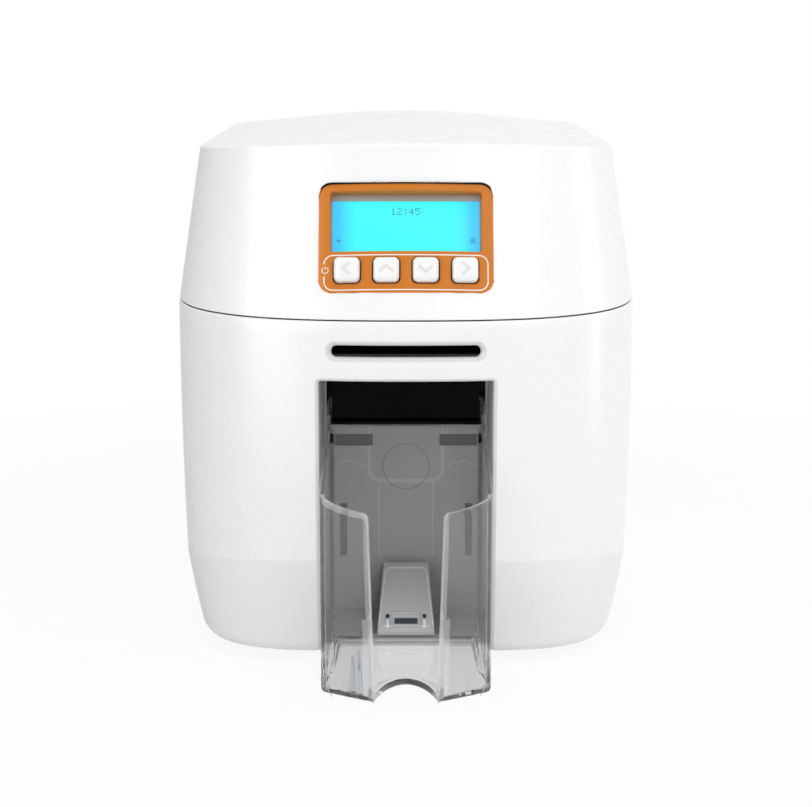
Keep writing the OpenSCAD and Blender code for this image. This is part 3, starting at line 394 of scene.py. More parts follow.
def lower_skin(s, z, depth=0.0):
    """Outside of the lower housing: below the crease the plan is drawn in by a taper and grows
    squarer, at the underside a quarter round draws it in, and depth moves it inward at lips."""
    taper = CREASE_TAPER * np.maximum(crease_line(outline(s, SEAM_Z)[1]) - z, 0)
    low = np.clip(BASE_ROUND - (z - BASE_Z), 0, BASE_ROUND)
    tuck = taper + BASE_ROUND - np.sqrt(BASE_ROUND**2 - low**2)
    fold = crease(s)
    share = np.clip((fold - z) / (fold - BASE_Z), 0, 1)
    x, y = outline(s, z, tuck + depth, PLAN_N + (BASE_N - PLAN_N) * share)
    return np.stack([x, y, z + 0 * x], -1)


def fillet(distance, radius):
    """Depth of a quarter round at a distance from the edge of an opening."""
    left = np.clip(radius - distance, 0, radius)
    return radius - np.sqrt(radius**2 - left**2)


def from_round_rect(x, z, at):
    """Distance of (x, z) outside a rectangle with round corners: middle, size, radius."""
    qx = np.abs(x - at[0]) - at[2] / 2 + at[4]
    qz = np.abs(z - at[1]) - at[3] / 2 + at[4]
    outside = np.hypot(np.maximum(qx, 0), np.maximum(qz, 0))
    return outside + np.minimum(np.maximum(qx, qz), 0) - at[4]


def round_rect_loop(at, grow, step=7.5):
    """Outline of a rectangle with round corners, grown by a distance, as points."""
    cx, cz, w, h, r = at
    turns = np.radians(np.arange(0, 90.1, 90 / max(4, round(90 / step))))
    ring = []
    for k, (sx, sz) in enumerate(((1, 1), (-1, 1), (-1, -1), (1, -1))):
        angle = turns + k * math.pi / 2
        ring.append(np.stack([cx + sx * (w / 2 - r) + (r + grow) * np.cos(angle),
                              cz + sz * (h / 2 - r) + (r + grow) * np.sin(angle)], -1))
    loop = np.concatenate(ring)
    ahead = np.roll(loop, -1, 0)
    count = np.maximum(np.ceil(np.linalg.norm(ahead - loop, axis=1) / GRID), 1).astype(int)
    return np.concatenate([a + (b - a) * (np.arange(n) / n)[:, None]
                           for a, b, n in zip(loop, ahead, count)])


def seen_gap(points, at):
    """The same for points in space, seen straight from the front or the rear."""
    return from_round_rect(points[:, 0], points[:, 2], at)


def turn_at(run):
    """Parameter s of the plan at a run along it, in millimetres."""
    return np.interp(run, KNOTS, range(len(KNOTS)))


def place_on(skin, x, z, span, rises):
    """Parameters of the points of a skin that show at (x, z): halving finds s within a span
    where x falls, or rises, along it, and the height is corrected in turn."""
    height = np.array(z, float)
    for _ in range(5):
        low, high = np.full(len(x), float(span[0])), np.full(len(x), float(span[1]))
        for _ in range(34):
            middle = (low + high) / 2
            before = (skin(middle, height)[:, 0] < x) == rises
            low, high = np.where(before, middle, low), np.where(before, high, middle)
        height += z - skin(middle, height)[:, 2]
    return middle, height


def cut_line(skin, line, span, rises=False):
    """Line of (x, z) as seen, carried to a skin's parameters: the run and the height."""
    s, height = place_on(skin, *line.T, span, rises)
    return np.stack([np.interp(s, range(len(KNOTS)), KNOTS), height], -1)


def trimmed(grid, loops, keep):
    """Triangles over a plane of parameters: grid points and points on loops, joined so that
    each loop is an edge; keep says which middles of triangles stay."""
    points = np.concatenate([grid] + [loop for loop, _ in loops])
    edges, base = [], len(grid)
    for loop, closed in loops:
        count = len(loop)
        edges += [(base + k, base + (k + 1) % count) for k in range(count if closed else count - 1)]
        base += count
    flat, _, faces, _, _, _ = delaunay_2d_cdt(
        [Vector(p) for p in points.tolist()], edges, [], 0, 1e-4, False)
    flat = np.array([tuple(p) for p in flat])
    faces = np.array([tuple(f) for f in faces])
    return flat, faces[keep(flat[faces].mean(1))]


def spread(low, high, step):
    """Numbers from low to high, about a step apart."""
    return np.linspace(low, high, max(2, int(math.ceil((high - low) / step)) + 1))


def plane_grid(across, up):
    return np.stack(np.meshgrid(across, up), -1).reshape(-1, 2)


def moulded(grid, loops, gaps, lips, margins):
    """Triangles of a grid with openings cut in it, and the depth of the round lips at their
    points. gaps gives the distances from the openings; grid points stay a margin away."""
    clear = [gap > lip + more for gap, lip, more in zip(gaps(*grid.T), lips, margins)]
    flat, faces = trimmed(grid[np.all(clear, axis=0)], loops,
                          lambda middle: np.min(gaps(*middle.T), axis=0) > 0)
    return flat, faces, np.max([fillet(gap, lip) for gap, lip in zip(gaps(*flat.T), lips)], axis=0)


def bay_outline(grow):
    """Tray opening in the front: up the right side, round its corners and down the left."""
    loop = round_rect_loop(BAY, grow)
    loop = loop[loop[:, 1] > BASE_Z + 1]
    turn = np.arctan2(loop[:, 1] - BAY_TOP / 2, loop[:, 0]) + math.pi / 2
    loop = loop[np.argsort(np.mod(turn, 2 * math.pi))]
    foot = [BAY_W / 2 + grow, BASE_Z]
    return np.concatenate([[foot], loop, [[-foot[0], foot[1]]]])


columns = np.concatenate([spread(a, b, GRID)[:-1] for a, b in zip(KNOTS[:-1], KNOTS[1:])]
                         + [KNOTS[-1:]])
bends = turn_at(columns)
foot_rows = BASE_Z + BASE_ROUND * (1 - np.cos(np.radians(np.arange(0, 91, 11.25))))
rows = [np.full(len(bends), z) for z in foot_rows]
low, fold = rows[-1], crease(bends)
rows += [low + (fold - CREASE_HALF - low) * t for t in spread(0, 1, 1 / 10)[1:]]
rows += [fold, fold + CREASE_HALF]
top = np.full(len(bends), SEAM_Z - 1.0)
rows += [fold + CREASE_HALF + (top - fold - CREASE_HALF) * t for t in spread(0, 1, 1 / 32)[1:]]
rows += [np.full(len(bends), SEAM_Z - drop) for drop in EDGE_ROWS[::-1]]
grid = np.concatenate([np.stack([columns, row], -1) for row in rows])


def housing_edges(run, z):
    """Distances from the tray opening, the slot and the rear hole, seen along the depth."""
    shown = lower_skin(turn_at(run), z)
    front = np.where(shown[:, 1] < CENTRE_Y, 0, ELSEWHERE)
    rear = np.where(shown[:, 1] > REAR_Y - 5, 0, ELSEWHERE)
    return seen_gap(shown, BAY) + front, seen_gap(shown, SLOT) + front, seen_gap(shown, REAR_HOLE) + rear


loops = []
for share in LIP_STEPS:
    loops.append((cut_line(lower_skin, bay_outline(share * BAY_LIP), FRONT_TURNS), False))
    ring = round_rect_loop(SLOT, share * SLOT_LIP)
    loops.append((cut_line(lower_skin, ring, FRONT_TURNS), True))
loops.append((cut_line(lower_skin, round_rect_loop(REAR_HOLE, 0), REAR_TURNS, True), True))
flat, faces, depth = moulded(grid, loops, housing_edges, (BAY_LIP, SLOT_LIP, 0),
                             (LIP_CLEAR, LIP_CLEAR, HOLE_CLEAR))
depth = np.maximum(depth, fillet(SEAM_Z - flat[:, 1], EDGE_R))
skin = lower_skin(turn_at(flat[:, 0]), flat[:, 1], depth)
casing_look = finish("casing_white", WHITE, 0.28, **SATIN)
housing = piece("housing_shell", skin, faces, "casing", "casing_white", casing_look, inner=WALL)
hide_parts("lower_housing")


def on_lips(middle, normal):
    """Faces of the rounded lips of the tray opening and the slot, where a grey copy of the plastic
    paints the shade.
    """
    near = seen_gap(middle, SLOT) < SLOT_LIP * LIP_SHADE
    near |= seen_gap(middle, BAY) < BAY_LIP * LIP_SHADE
    return near & (middle[:, 1] < CENTRE_Y) & (middle[:, 2] > BASE_Z + 2)


def on_low_band(middle, normal):
    """Faces below the crease, whose height goes by the plan at the seam; a darker copy of the casing's
    white paints the shade on them.
    """
    y, z = middle[:, 1], middle[:, 2]
    seam_y = y - NOSE_BELLY * below(z) * np.clip((CENTRE_Y - y) / PLAN_B, 0, 1)
    return z < np.maximum(crease_line(seam_y), CREASE_LOW)


# A darker copy of the casing's white paints the shade on the band below the crease.
low_band_shade_look = finish("casing_low_shade", (0.835, 0.835, 0.84), 0.3, **SATIN)
second_look(housing, low_band_shade_look, on_low_band)
# A grey copy of the plastic paints the shade in the rounded lips of the tray opening and the slot.
lip_shade_look = finish("casing_lip_shade", (0.7, 0.7, 0.705), 0.4, grain=0.5, relief=0.005, mottle=0.01)
second_look(housing, lip_shade_look, on_lips)

# Housing fittings
# Screw bosses with ribs, latch brackets and the outer hinge knuckles, moulded
# in one with the lower housing, and a flat sole from its round foot inward to
# the base plate.
BOSSES = ((-66, -62), (66, -62), (-78, 60), (78, 60))
BOSS_R = 4
BOSS_Z = (7.5, 47.5)
BOSS_RIB_Z = (22, 44)
LATCH_X = (-60, -38, 38, 60)
LATCH_AT = (-103, SEAM_Z - 2.8)
HINGE_AT = (164, SEAM_Z + 4.4)
KNUCKLE_R = 3.4
KNUCKLE_RIB_Y = (-3, 1.6)
HOUSING_KNUCKLES = ((-73.8, -50), (-12, 12), (50, 73.8))
PLATE_TUCK = 9.2
PLATE_CREASE_Z = 48
SOLE_Z = (BASE_Z + 0.02, BASE_Z + 1.6)
SOLE_EDGE = 0.4
SOLE_GAP = 0.8


def circle(at, radius, sides=32):
    turn = np.linspace(0, 2 * math.pi, sides, endpoint=False)
    return np.stack([at[0] + radius * np.cos(turn), at[1] + radius * np.sin(turn)], -1)


def rect(low, high):
    return np.array([low, (high[0], low[1]), high, (low[0], high[1])], float)


def prisms(parts):
    """Points and faces of flat outlines made solid along an axis: rows of (outline, axis, low,
    high), where the outline's two coordinates are the other two axes in order."""
    points, faces, base = [], [], 0
    for shape, axis, low, high in parts:
        count = len(shape)
        for level in (low, high):
            points.append(np.insert(shape, "xyz".index(axis), level, axis=1))
        near = list(range(base, base + count))
        faces += [near, [k + count for k in near]]
        faces += [(a, b, b + count, a + count) for a, b in zip(near, near[1:] + near[:1])]
        base += 2 * count
    return np.concatenate(points), faces


def front_at(x, z, inset):
    """Depth of the casing's front at half width x, moved inward by inset."""
    turns = np.linspace(0.02, 0.5, 400)
    across, deep = outline(turns, z, inset)
    return float(np.interp(-abs(x), -across, deep))


def knuckles(spans, reach):
    """Hinge knuckles over spans of x, each on a rib that reaches up or down that far."""
    y, z = HINGE_AT
    low, high = sorted((z, z + reach))
    rib = rect((y + KNUCKLE_RIB_Y[0], low), (y + KNUCKLE_RIB_Y[1], high))
    round_part = circle(HINGE_AT, KNUCKLE_R)
    return [(shape, "x", *span) for span in spans for shape in (round_part, rib)]


parts = []
for x, y in BOSSES:
    reach = math.copysign(CASING_W / 2 - (9 if y < 0 else 3.5), x)
    parts.append((circle((x, y), BOSS_R), "z", *BOSS_Z))
    parts.append((rect((min(x, reach), y - 1), (max(x, reach), y + 1)), "z", *BOSS_RIB_Z))
latch_y, latch_z = LATCH_AT
for x in LATCH_X:
    bracket = rect((front_at(x, SEAM_Z, 1.6), latch_z - 5), (latch_y + 4, latch_z + 2.6))
    parts.append((bracket, "x", x - 2, x + 2))
parts += knuckles(HOUSING_KNUCKLES, -8)
piece("housing_fittings", *prisms(parts), "casing", "casing_white", casing_look, edge=0.3)
turns = spread(0.2, 0.5, 0.005)
mouth = np.interp(-BAY_W / 2 - SOLE_GAP, -lower_skin(turns, BASE_Z)[:, 0], turns)
sweep = np.concatenate([bends[bends > 1 - mouth], bends[bends < mouth][1:]])
fall = CREASE_TAPER * np.maximum(crease_line(outline(sweep, SEAM_Z)[1], PLATE_CREASE_Z) - BASE_Z, 0)
plate_edge = np.stack(outline(sweep, BASE_Z, PLATE_TUCK + fall), -1)
sole = np.concatenate([lower_skin(sweep, BASE_Z, SOLE_EDGE)[:, :2], plate_edge[::-1]])
piece("housing_sole", *prisms([(sole, "z", *SOLE_Z)]), "casing", "casing_white", casing_look)


def dress(node, look, edge=0.2, crisp=32):
    """Copy of a CAD node with its points merged, its flat triangles joined and its edges
    rounded by edge millimetres; it stands for the node and rides where the node does."""
    source = frame["nodes"][node]
    work = bmesh.new()
    work.from_mesh(source.data)
    bmesh.ops.remove_doubles(work, verts=work.verts, dist=2e-6)
    bmesh.ops.dissolve_limit(work, angle_limit=math.radians(0.5), verts=work.verts, edges=work.edges)
    if edge:
        sharp = [e for e in work.edges
                 if len(e.link_faces) == 2 and e.calc_face_angle(0) > math.radians(crisp)]
        bmesh.ops.bevel(work, geom=sharp, offset=edge / 1000, segments=2, profile=0.5,
                        affect="EDGES", clamp_overlap=True)
    mesh = bpy.data.meshes.new(node + "_finished")
    work.to_mesh(mesh)
    work.free()
    mesh.shade_smooth()
    mesh.set_sharp_from_angle(angle=math.radians(crisp))
    mesh.materials.clear()
    mesh.materials.append(look)
    made = bpy.data.objects.new(node + "_finished", mesh)
    scene.collection.objects.link(made)
    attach(made, source["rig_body"])
    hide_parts(node)
    return made


base_look = finish("base_grey", (0.5, 0.51, 0.53), 0.5, relief=0.03, mottle=0.03)
foot_look = finish("foot_rubber", (0.03, 0.03, 0.03), 0.8, grain=0.2, relief=0.03, mottle=0.1)
shaft_look = finish("shaft_steel", (0.7, 0.7, 0.72), 0.24, grain=0.15, relief=0.004, mottle=0.03,
                    metallic=1.0, stretch=(1, 14, 14))
dress("base_plate", base_look)
dress("rubber_feet", foot_look, edge=0.6)
dress("base_screws", shaft_look)

# Rear panel and sockets
# Fine-grained white plastic with cooling slots, snapped into the housing; the
# power, data and network sockets stand on the main board behind it.
BOARD_Z = 16
NETWORK_X = 17
CONTACT_COUNT = 8
CONTACT_PITCH = 1.02
CONTACT_HALF = 0.2
CONTACT = ((-14.8, 11.2), (-7, 11.2), (-14.2, 7.4), (-14.6, 7.7), (-7.9, 11.0), (-14.8, 11.0))
rear_look = finish("rear_white", (0.86, 0.86, 0.855), 0.55, grain=0.35, relief=0.05, mottle=0.015)
black_look = finish("black_plastic", (0.013, 0.013, 0.015), 0.45, grain=0.4, mottle=0.08)
socket_look = finish("socket_steel", (0.62, 0.62, 0.64), 0.3, grain=0.4, relief=0.01, mottle=0.04,
                     metallic=1.0)
gold_look = finish("contact_gold", (0.83, 0.62, 0.28), 0.25, grain=0.1, relief=0.002, mottle=0.04,
                   metallic=1.0)
dress("rear_panel", rear_look)
dress("dc_socket", black_look, edge=0.15)
dress("usb_socket", socket_look, edge=0.15)
dress("network_socket", socket_look, edge=0.15)
parts = []
for k in range(CONTACT_COUNT):
    at = NETWORK_X + (k - (CONTACT_COUNT - 1) / 2) * CONTACT_PITCH
    wire = np.array(CONTACT) + (REAR_Y, BOARD_Z)
    parts.append((wire, "x", at - CONTACT_HALF, at + CONTACT_HALF))
piece("network_contacts", *prisms(parts), "casing", "socket_steel", gold_look)

# Tray bay
# A grey plastic channel behind the front opening. Its back wall is moulded with
# four blind slots, a sunk field with sloping sides, a ring and fine raised lines.
# Painted shade darkens the slots' floors and a thin dark strip round the ring; the
# slopes and the lines are a lighter grey, painted light.
BAY_BACK = -58
PANEL_FACE = BAY_BACK - 0.6
PANEL_BOX = (0, 51.9, 65.2, 84.8, 0.5)
BAY_SLOTS = [(side * 23.65, 88.15, 17.1, 5.3, 0.3) for side in (-1, 1)]
BAY_SLOTS += [(side * 28.4, 46.4, 3.2, 24.6, 0.3) for side in (-1, 1)]
FIELD = (0, 92, 34.8, 47.4, 6)
FIELD_SLOPE = 2.2
FIELD_DEEP = 0.4
FIELD_TOP = 93.6
BAY_GRID = 1.1
RING = (0, 75.8, 10.5, 0.4)
RIDGE = (12.2, 34, 68)
RIDGE_W = 0.35
RIDGE_LIFT = 0.05
ROOF = ((32, 76), (26.5, 78.8), (17.6, 76))
SLOT_FLOOR = (BAY_BACK - 0.12, BAY_BACK + 0.1)


def nearest(points, line):
    """Distance of each point to the nearest point of a line."""
    return np.linalg.norm(points[:, None] - line[None], axis=2).min(1)


def bay_gaps(x, z):
    slots = [from_round_rect(x, z, slot) for slot in BAY_SLOTS]
    return np.minimum(np.min(slots, axis=0), -from_round_rect(x, z, PANEL_BOX))


def bay_relief(x, z):
    """Depth of the back wall's face: a smooth slope down into the field."""
    share = np.clip(-from_round_rect(x, z, FIELD) / FIELD_SLOPE, 0, 1)
    return FIELD_DEEP * share * share * (3 - 2 * share)


def ring_faces(count, across, base=0):
    """Quads between count rings of points, one after another from the point numbered base."""
    k, j = np.meshgrid(np.arange(count - 1), np.arange(across - 1), indexing="ij")
    a = (base + k * across + j).ravel()
    return np.stack([a, a + 1, a + 1 + across, a + across], -1)


def ribbon(path, width, depth, lift, sink=0.05):
    """Flat strip along a path of (x, z): its sides stand off the path by half the width along
    the mitred normal, and it rises by lift over the surface whose depth is given."""
    path = np.asarray(path, float)
    ahead = np.diff(path, axis=0)
    ahead /= np.linalg.norm(ahead, axis=1)[:, None]
    before = np.concatenate([ahead[:1], ahead])
    after = np.concatenate([ahead, ahead[-1:]])
    side = before + after
    side /= (side * before).sum(1)[:, None]
    side = np.stack([side[:, 1], -side[:, 0]], -1) * width / 2
    rows = []
    for sign, level in ((-1, sink), (-1, -lift), (1, -lift), (1, sink), (-1, sink)):
        spot = path + sign * side
        rows.append(np.stack([spot[:, 0], depth(spot[:, 0]) + level, spot[:, 1]], -1))
    count = len(path)
    faces = ring_faces(5, count).tolist()
    faces += [[k * count for k in range(4)], [k * count + count - 1 for k in range(4)]]
    return np.concatenate(rows), faces


def joined(shapes):
    points, faces, base = [], [], 0
    for shape_points, shape_faces in shapes:
        points.append(shape_points)
        faces += [[k + base for k in face] for face in shape_faces]
        base += len(shape_points)
    return np.concatenate(points), faces


def knotted(knots):
    """Points on straight runs from knot to knot, five steps to a run."""
    runs = [a + (b - a) * spread(0, 1, 0.2)[:-1, None] for a, b in zip(knots, knots[1:])]
    return np.concatenate(runs + [knots[-1:]])


def bay_ribbons(lines, width):
    """Strips along lines on the back wall, which follow its relief."""
    points, faces = joined([ribbon(line, width, lambda x: PANEL_FACE + 0 * x, RIDGE_LIFT)
                            for line in lines])
    points[:, 1] += bay_relief(points[:, 0], points[:, 2])
    return points, faces


bay_look = finish("bay_grey", (0.43, 0.435, 0.445), 0.5)
shade_look = finish("bay_shade", (0.17, 0.172, 0.178), 0.6, mottle=0.03)
dress("tray_bay", bay_look, edge=0.25)
grid = plane_grid(spread(-32.4, 32.4, BAY_GRID), spread(9.9, 93.9, BAY_GRID))
loops = [(round_rect_loop(shape, 0), True) for shape in [PANEL_BOX] + BAY_SLOTS]
for inset in np.linspace(0, FIELD_SLOPE, 5):
    line = round_rect_loop(FIELD, -inset)
    line = line[line[:, 1] < FIELD_TOP]
    break_at = np.argmax(np.linalg.norm(np.diff(line, axis=0), axis=1)) + 1
    loops.append((np.roll(line, -break_at, axis=0), False))
crowded = [nearest(grid, loop) < 0.35 for loop, _ in loops]
grid = grid[~np.any(crowded, axis=0) & (bay_gaps(*grid.T) > 0.3)]
flat, faces = trimmed(grid, loops, lambda middle: bay_gaps(*middle.T) > 0)
points = np.insert(flat, 1, PANEL_FACE + bay_relief(*flat.T), axis=1)
bay_back = piece("bay_back", points, faces, "casing", "bay_grey", bay_look, crisp=50)


def on_slope(middle, normal):
    """Faces of the slope round the sunk field, where a lighter grey paints the light."""
    depth = -seen_gap(middle, FIELD)
    return (depth > 0.1) & (depth < FIELD_SLOPE - 0.5)


# A lighter copy of the bay's grey paints light on the slope round the sunk field.
slope_light_look = finish("bay_slope_light", (0.5, 0.505, 0.515), 0.5)
second_look(bay_back, slope_light_look, on_slope)
ridges = [[(side * RIDGE[0], z) for z in spread(RIDGE[1], RIDGE[2], 4)] for side in (-1, 1)]
ridges += [knotted(np.array(ROOF) * (side, 1)) for side in (-1, 1)]
# The raised lines are a lighter grey than the wall, which paints their highlight.
ridge_highlight_look = finish("bay_ridge", (0.58, 0.585, 0.595), 0.5, relief=0.01)
piece("bay_ridges", *bay_ribbons(ridges, RIDGE_W), "casing", "bay_grey", ridge_highlight_look)
# A thin dark strip paints the shade round the ring on the back wall.
ring = circle(RING, RING[2], 96)
ring = bay_ribbons([np.concatenate([ring, ring[:1]])], RING[3])
ring_shade_look = finish("bay_ring_shade", (0.27, 0.272, 0.278), 0.5, relief=0.01)
piece("bay_ring_shade", *ring, "casing", "bay_grey", ring_shade_look)
# Dark grey floors in the four blind slots paint the shade in them.
floors = [(np.array((x, z)), np.array((w, h)) / 2 + 0.2) for x, z, w, h, _ in BAY_SLOTS]
parts = [(rect(at - half, at + half), "y", *SLOT_FLOOR) for at, half in floors]
piece("bay_slots", *prisms(parts), "casing", "bay_grey", shade_look)

# Card exit and feed chute
# Black plastic: a frame round the mouth through which printed cards drop, and
# the chute that leads from the hand-feed slot down to the card path.
frame_look = finish("exit_black", (0.003, 0.003, 0.0035), 0.5, grain=0.4, mottle=0.08, specular=0.08)
dress("exit_frame", frame_look, edge=0.3)
dress("feed_chute", black_look, edge=0.15)

# Clear card tray
# One moulding in clear, slightly smoky plastic that slides out forward: side
# walls, two angled wings with a gap for fingers, and a stepped floor with a notch.
# Whiter, partly frosted copies of the plastic paint glints along the wing tops and
# the notch's rim, and paint light on the floor, the step's riser and the raised sill.
TRAY_HALF = 35
TRAY_REAR = -58.5
TRAY_SIDE_Y = -155
TRAY_TIP = (13.5, -167.85)
WING_FLARE = 2.8
WING_END = 0.14
WING_L = math.hypot(TRAY_HALF - TRAY_TIP[0], TRAY_SIDE_Y - TRAY_TIP[1])
TRAY_T = 2.0
TRAY_IOR = 1.08
WAVE = 0.0002
FLOOR_GRID = 2.6
TRAY_RIM_T = 3.0
RIM_LINES = (2.4, 3.1)
TRAY_LOW = 3
TRAY_STEP = (-97.4, 0.8, 3.4)
TRAY_TOP_REAR = 113
TRAY_TOP_FRONT = 85.9
TRAY_TOP_WING = 81.2
WING_FALL = 8.8
TRAY_TOP_R = 2.8
TRAY_REAR_R = 5
TRAY_BEND_R = 3
FOOT_SIDE_R = 2.6
FOOT_WING_R = 1.2
FOOT_BLEND = (6, 8)
NOTCH_DEEP = 20.5
NOTCH_ARC = 55
CATCH_CUT = (15, -95)
TRAY_RIBS = (18.3, 1.6, 1.3, -96.6, -72)
GUSSET = ((-167.3, 4.6), (-167.3, 40), (-164, 36), (-161, 22), (-152, 4.6))
GUSSET_X = (13.8, 15.3)


def tray_plan():
    """Right half of the tray's plan from rear to wing tip: straight, bend, straight; with
    outward normals and distances along it."""
    run = np.array(TRAY_TIP) - (TRAY_HALF, TRAY_SIDE_Y)
    run /= np.linalg.norm(run)
    turn = math.acos(-run[1])
    legs = TRAY_BEND_R * math.tan(turn / 2)
    straight = np.array([(TRAY_HALF, y) for y in spread(TRAY_REAR, TRAY_SIDE_Y + legs, 3)])
    angles = np.linspace(0, turn, 9)[1:]
    bend = np.stack([TRAY_HALF - TRAY_BEND_R * (1 - np.cos(angles)),
                     TRAY_SIDE_Y + legs - TRAY_BEND_R * np.sin(angles)], -1)
    end = 1 - WING_END * np.cos(np.radians(spread(0, 90, 10)))
    shares = np.concatenate([spread(0, 1 - WING_END, 0.09)[1:], end[1:]])
    wing = bend[-1] + (np.array(TRAY_TIP) - bend[-1]) * shares[:, None]
    path = np.concatenate([straight, bend, wing])
    away = np.concatenate([np.zeros(len(straight)), angles, np.full(len(wing), turn)])
    normal = np.stack([np.cos(away), -np.sin(away)], -1)
    steps = np.linalg.norm(np.diff(path, axis=0), axis=1)
    return path, normal, np.concatenate([[0], np.cumsum(steps)])


def tray_floor_z(y):
    """Underside of the floor: low at the front, up a step towards the rear."""
    at, soft, rise = TRAY_STEP
    share = np.clip((y - at) / soft, 0, 1)
    return TRAY_LOW + rise * share * share * (3 - 2 * share)


def tray_top(path, along):
    """Height of the wall: a slope with a rounded rear corner, a quick fall past the bend, and
    a rounded end at the wing tip."""
    bend = along[-1] - WING_L
    slope = (TRAY_TOP_REAR - TRAY_TOP_FRONT) / (TRAY_REAR - TRAY_SIDE_Y)
    top = TRAY_TOP_FRONT + slope * (path[:, 1] - TRAY_SIDE_Y)
    top -= fillet(along, TRAY_REAR_R)
    past = np.maximum(along - bend, 0)
    wing = TRAY_TOP_WING + (TRAY_TOP_FRONT - TRAY_TOP_WING) * np.exp(-past / WING_FALL)
    return np.where(along > bend, wing, top) - fillet(along[-1] - along, TRAY_TOP_R)


def inside(points, loop):
    """Whether points lie in a closed outline: an odd number of its edges lie to their right."""
    x, y = points[:, None, 0], points[:, None, 1]
    x1, y1 = loop[:, 0], loop[:, 1]
    x2, y2 = np.roll(x1, -1), np.roll(y1, -1)
    level = (y1 > y) != (y2 > y)
    level_x = x1 + (y - y1) * (x2 - x1) / np.where(y2 == y1, 1, y2 - y1)
    return (level & (x < level_x)).sum(1) % 2 == 1


path, normal, along = tray_plan()
top = tray_top(path, along)
bend_at = np.interp(-TRAY_SIDE_Y, -path[:, 1], along)
share = np.clip((along - bend_at + FOOT_BLEND[0]) / FOOT_BLEND[1], 0, 1)
foot_r = FOOT_SIDE_R + (FOOT_WING_R - FOOT_SIDE_R) * share
ground = tray_floor_z(path[:, 1])
rings = []
for turn in np.radians(np.linspace(90, 0, 7)):
    shift = foot_r * (1 - math.cos(turn))
    spot = path - normal * shift[:, None]
    rings.append(np.column_stack([spot, ground + foot_r * (1 - math.sin(turn))]))
on_wing = np.clip((along - along[-1]) / WING_L + 1, 0, 1)[:, None]
back_along = np.array([TRAY_HALF, TRAY_SIDE_Y]) - TRAY_TIP
back_along = back_along / WING_L * WING_FLARE * on_wing
foot = ground + foot_r
for part in spread(0, 1, 1 / 26)[1:]:
    rings.append(np.column_stack([path + back_along * part, foot + (top - foot) * part]))
wall = np.concatenate(rings)
wall_faces = ring_faces(len(rings), len(path))
floor_edge = rings[0][:, :2]
tip = floor_edge[-1]
sweep = np.radians(np.linspace(NOTCH_ARC, -NOTCH_ARC, 31))
notch_x = tip[0] * np.sin(sweep) / math.sin(math.radians(NOTCH_ARC))
level = math.cos(math.radians(NOTCH_ARC))
notch = np.stack([notch_x, tip[1] + NOTCH_DEEP * (np.cos(sweep) - level) / (1 - level)], -1)
cut_x, cut_y = CATCH_CUT
rear_y = floor_edge[0, 1]
cut = [(-cut_x, y) for y in spread(rear_y, cut_y, 3)]
cut += [(x, cut_y) for x in spread(-cut_x, cut_x, 3)[1:-1]]
cut += [(cut_x, y) for y in spread(cut_y, rear_y, 3)]
mirror_edge = floor_edge[::-1] * (-1, 1)
loop = np.concatenate([floor_edge, notch[1:-1], mirror_edge, np.array(cut)])
y_rows = [spread(-167, -98.6, FLOOR_GRID), np.linspace(-97.6, -96.4, 9), spread(-95.4, -59.5, 3)]
grid = plane_grid(spread(-33, 33, FLOOR_GRID), np.concatenate(y_rows))
grid = grid[inside(grid, loop) & (nearest(grid, loop) > 0.9)]
rim_lines = [(notch[1:-1] + (0, gap), False) for gap in RIM_LINES]
grid = grid[np.all([nearest(grid, line) > 0.6 for line, _ in rim_lines], axis=0)]
flat, faces = trimmed(grid, [(loop, True)] + rim_lines, lambda middle: inside(middle, loop))
floor = np.column_stack([flat, tray_floor_z(flat[:, 1])])
points = np.concatenate([wall, wall * (-1, 1, 1), floor])
faces = wall_faces.tolist() + (wall_faces + len(wall)).tolist() + (faces + 2 * len(wall)).tolist()


def tray_rim(where):
    """Share of the full thickness: whole on a rim round the finger notch, two thirds elsewhere."""
    gap = nearest(where[:, :2] * 1000, notch)
    low = where[:, 2] * 1000 < TRAY_LOW + 0.2
    share = np.clip((RIM_LINES[1] - gap) / (RIM_LINES[1] - RIM_LINES[0]), 0, 1) * low
    return (TRAY_T + (TRAY_RIM_T - TRAY_T) * share) / TRAY_RIM_T


def clear_plastic(name, colour, frost):
    """Clear moulded plastic under a hard gloss: slow noise tints it and raises faint waves,
    fine noise hazes it, and frost is the share of it that scatters light. Light passes it on
    its way to what stands behind."""
    look, start, place = new_look(name)
    slow = start.node("TexNoise", sockets={"Vector": place, "Scale": 30.0, "Detail": 1.0})
    fine = start.node("TexNoise", sockets={"Vector": place, "Scale": 900.0, "Detail": 2.0})
    darker = tuple(c * 0.97 for c in colour) + (1,)
    tint = start.blend(slow, darker, colour + (1,))
    bump = start.bump(slow, WAVE, 0.5)
    solid = start.node("BsdfPrincipled", sockets={
        "Base Color": tint, "Roughness": fine * 0.04 + 0.01, "Normal": bump, "IOR": TRAY_IOR,
        "Transmission Weight": 1.0, "Coat Weight": 1.0, "Coat Roughness": 0.04})
    haze = start.node("BsdfDiffuse", sockets={"Color": (0.93, 0.93, 0.94, 1)})
    solid = start.node("MixShader", sockets={0: frost, 1: solid, 2: haze})
    light = start.node("LightPath", out="Is Shadow Ray")
    light = (light + light.pick("Is Diffuse Ray")).math("MINIMUM", 1.0)
    through = start.node("BsdfTransparent", sockets={"Color": (0.93, 0.93, 0.93, 1)})
    start.node("MixShader", sockets={0: light, 1: solid, 2: through}).ends()
    return look


def on_rim(middle, normal):
    """Faces along the wings' top and free edges and the rim of the notch, where a whiter, partly frosted
    copy of the plastic paints glints.
    """
    top = (normal[:, 2] > 0.45) & (middle[:, 2] > 70) & (middle[:, 1] < TRAY_SIDE_Y + 8)
    free = (normal[:, 0] * middle[:, 0] < 0) & (np.abs(middle[:, 0]) < 17) & (middle[:, 1] < -160)
    return top | free & (np.abs(normal[:, 2]) < 0.8)


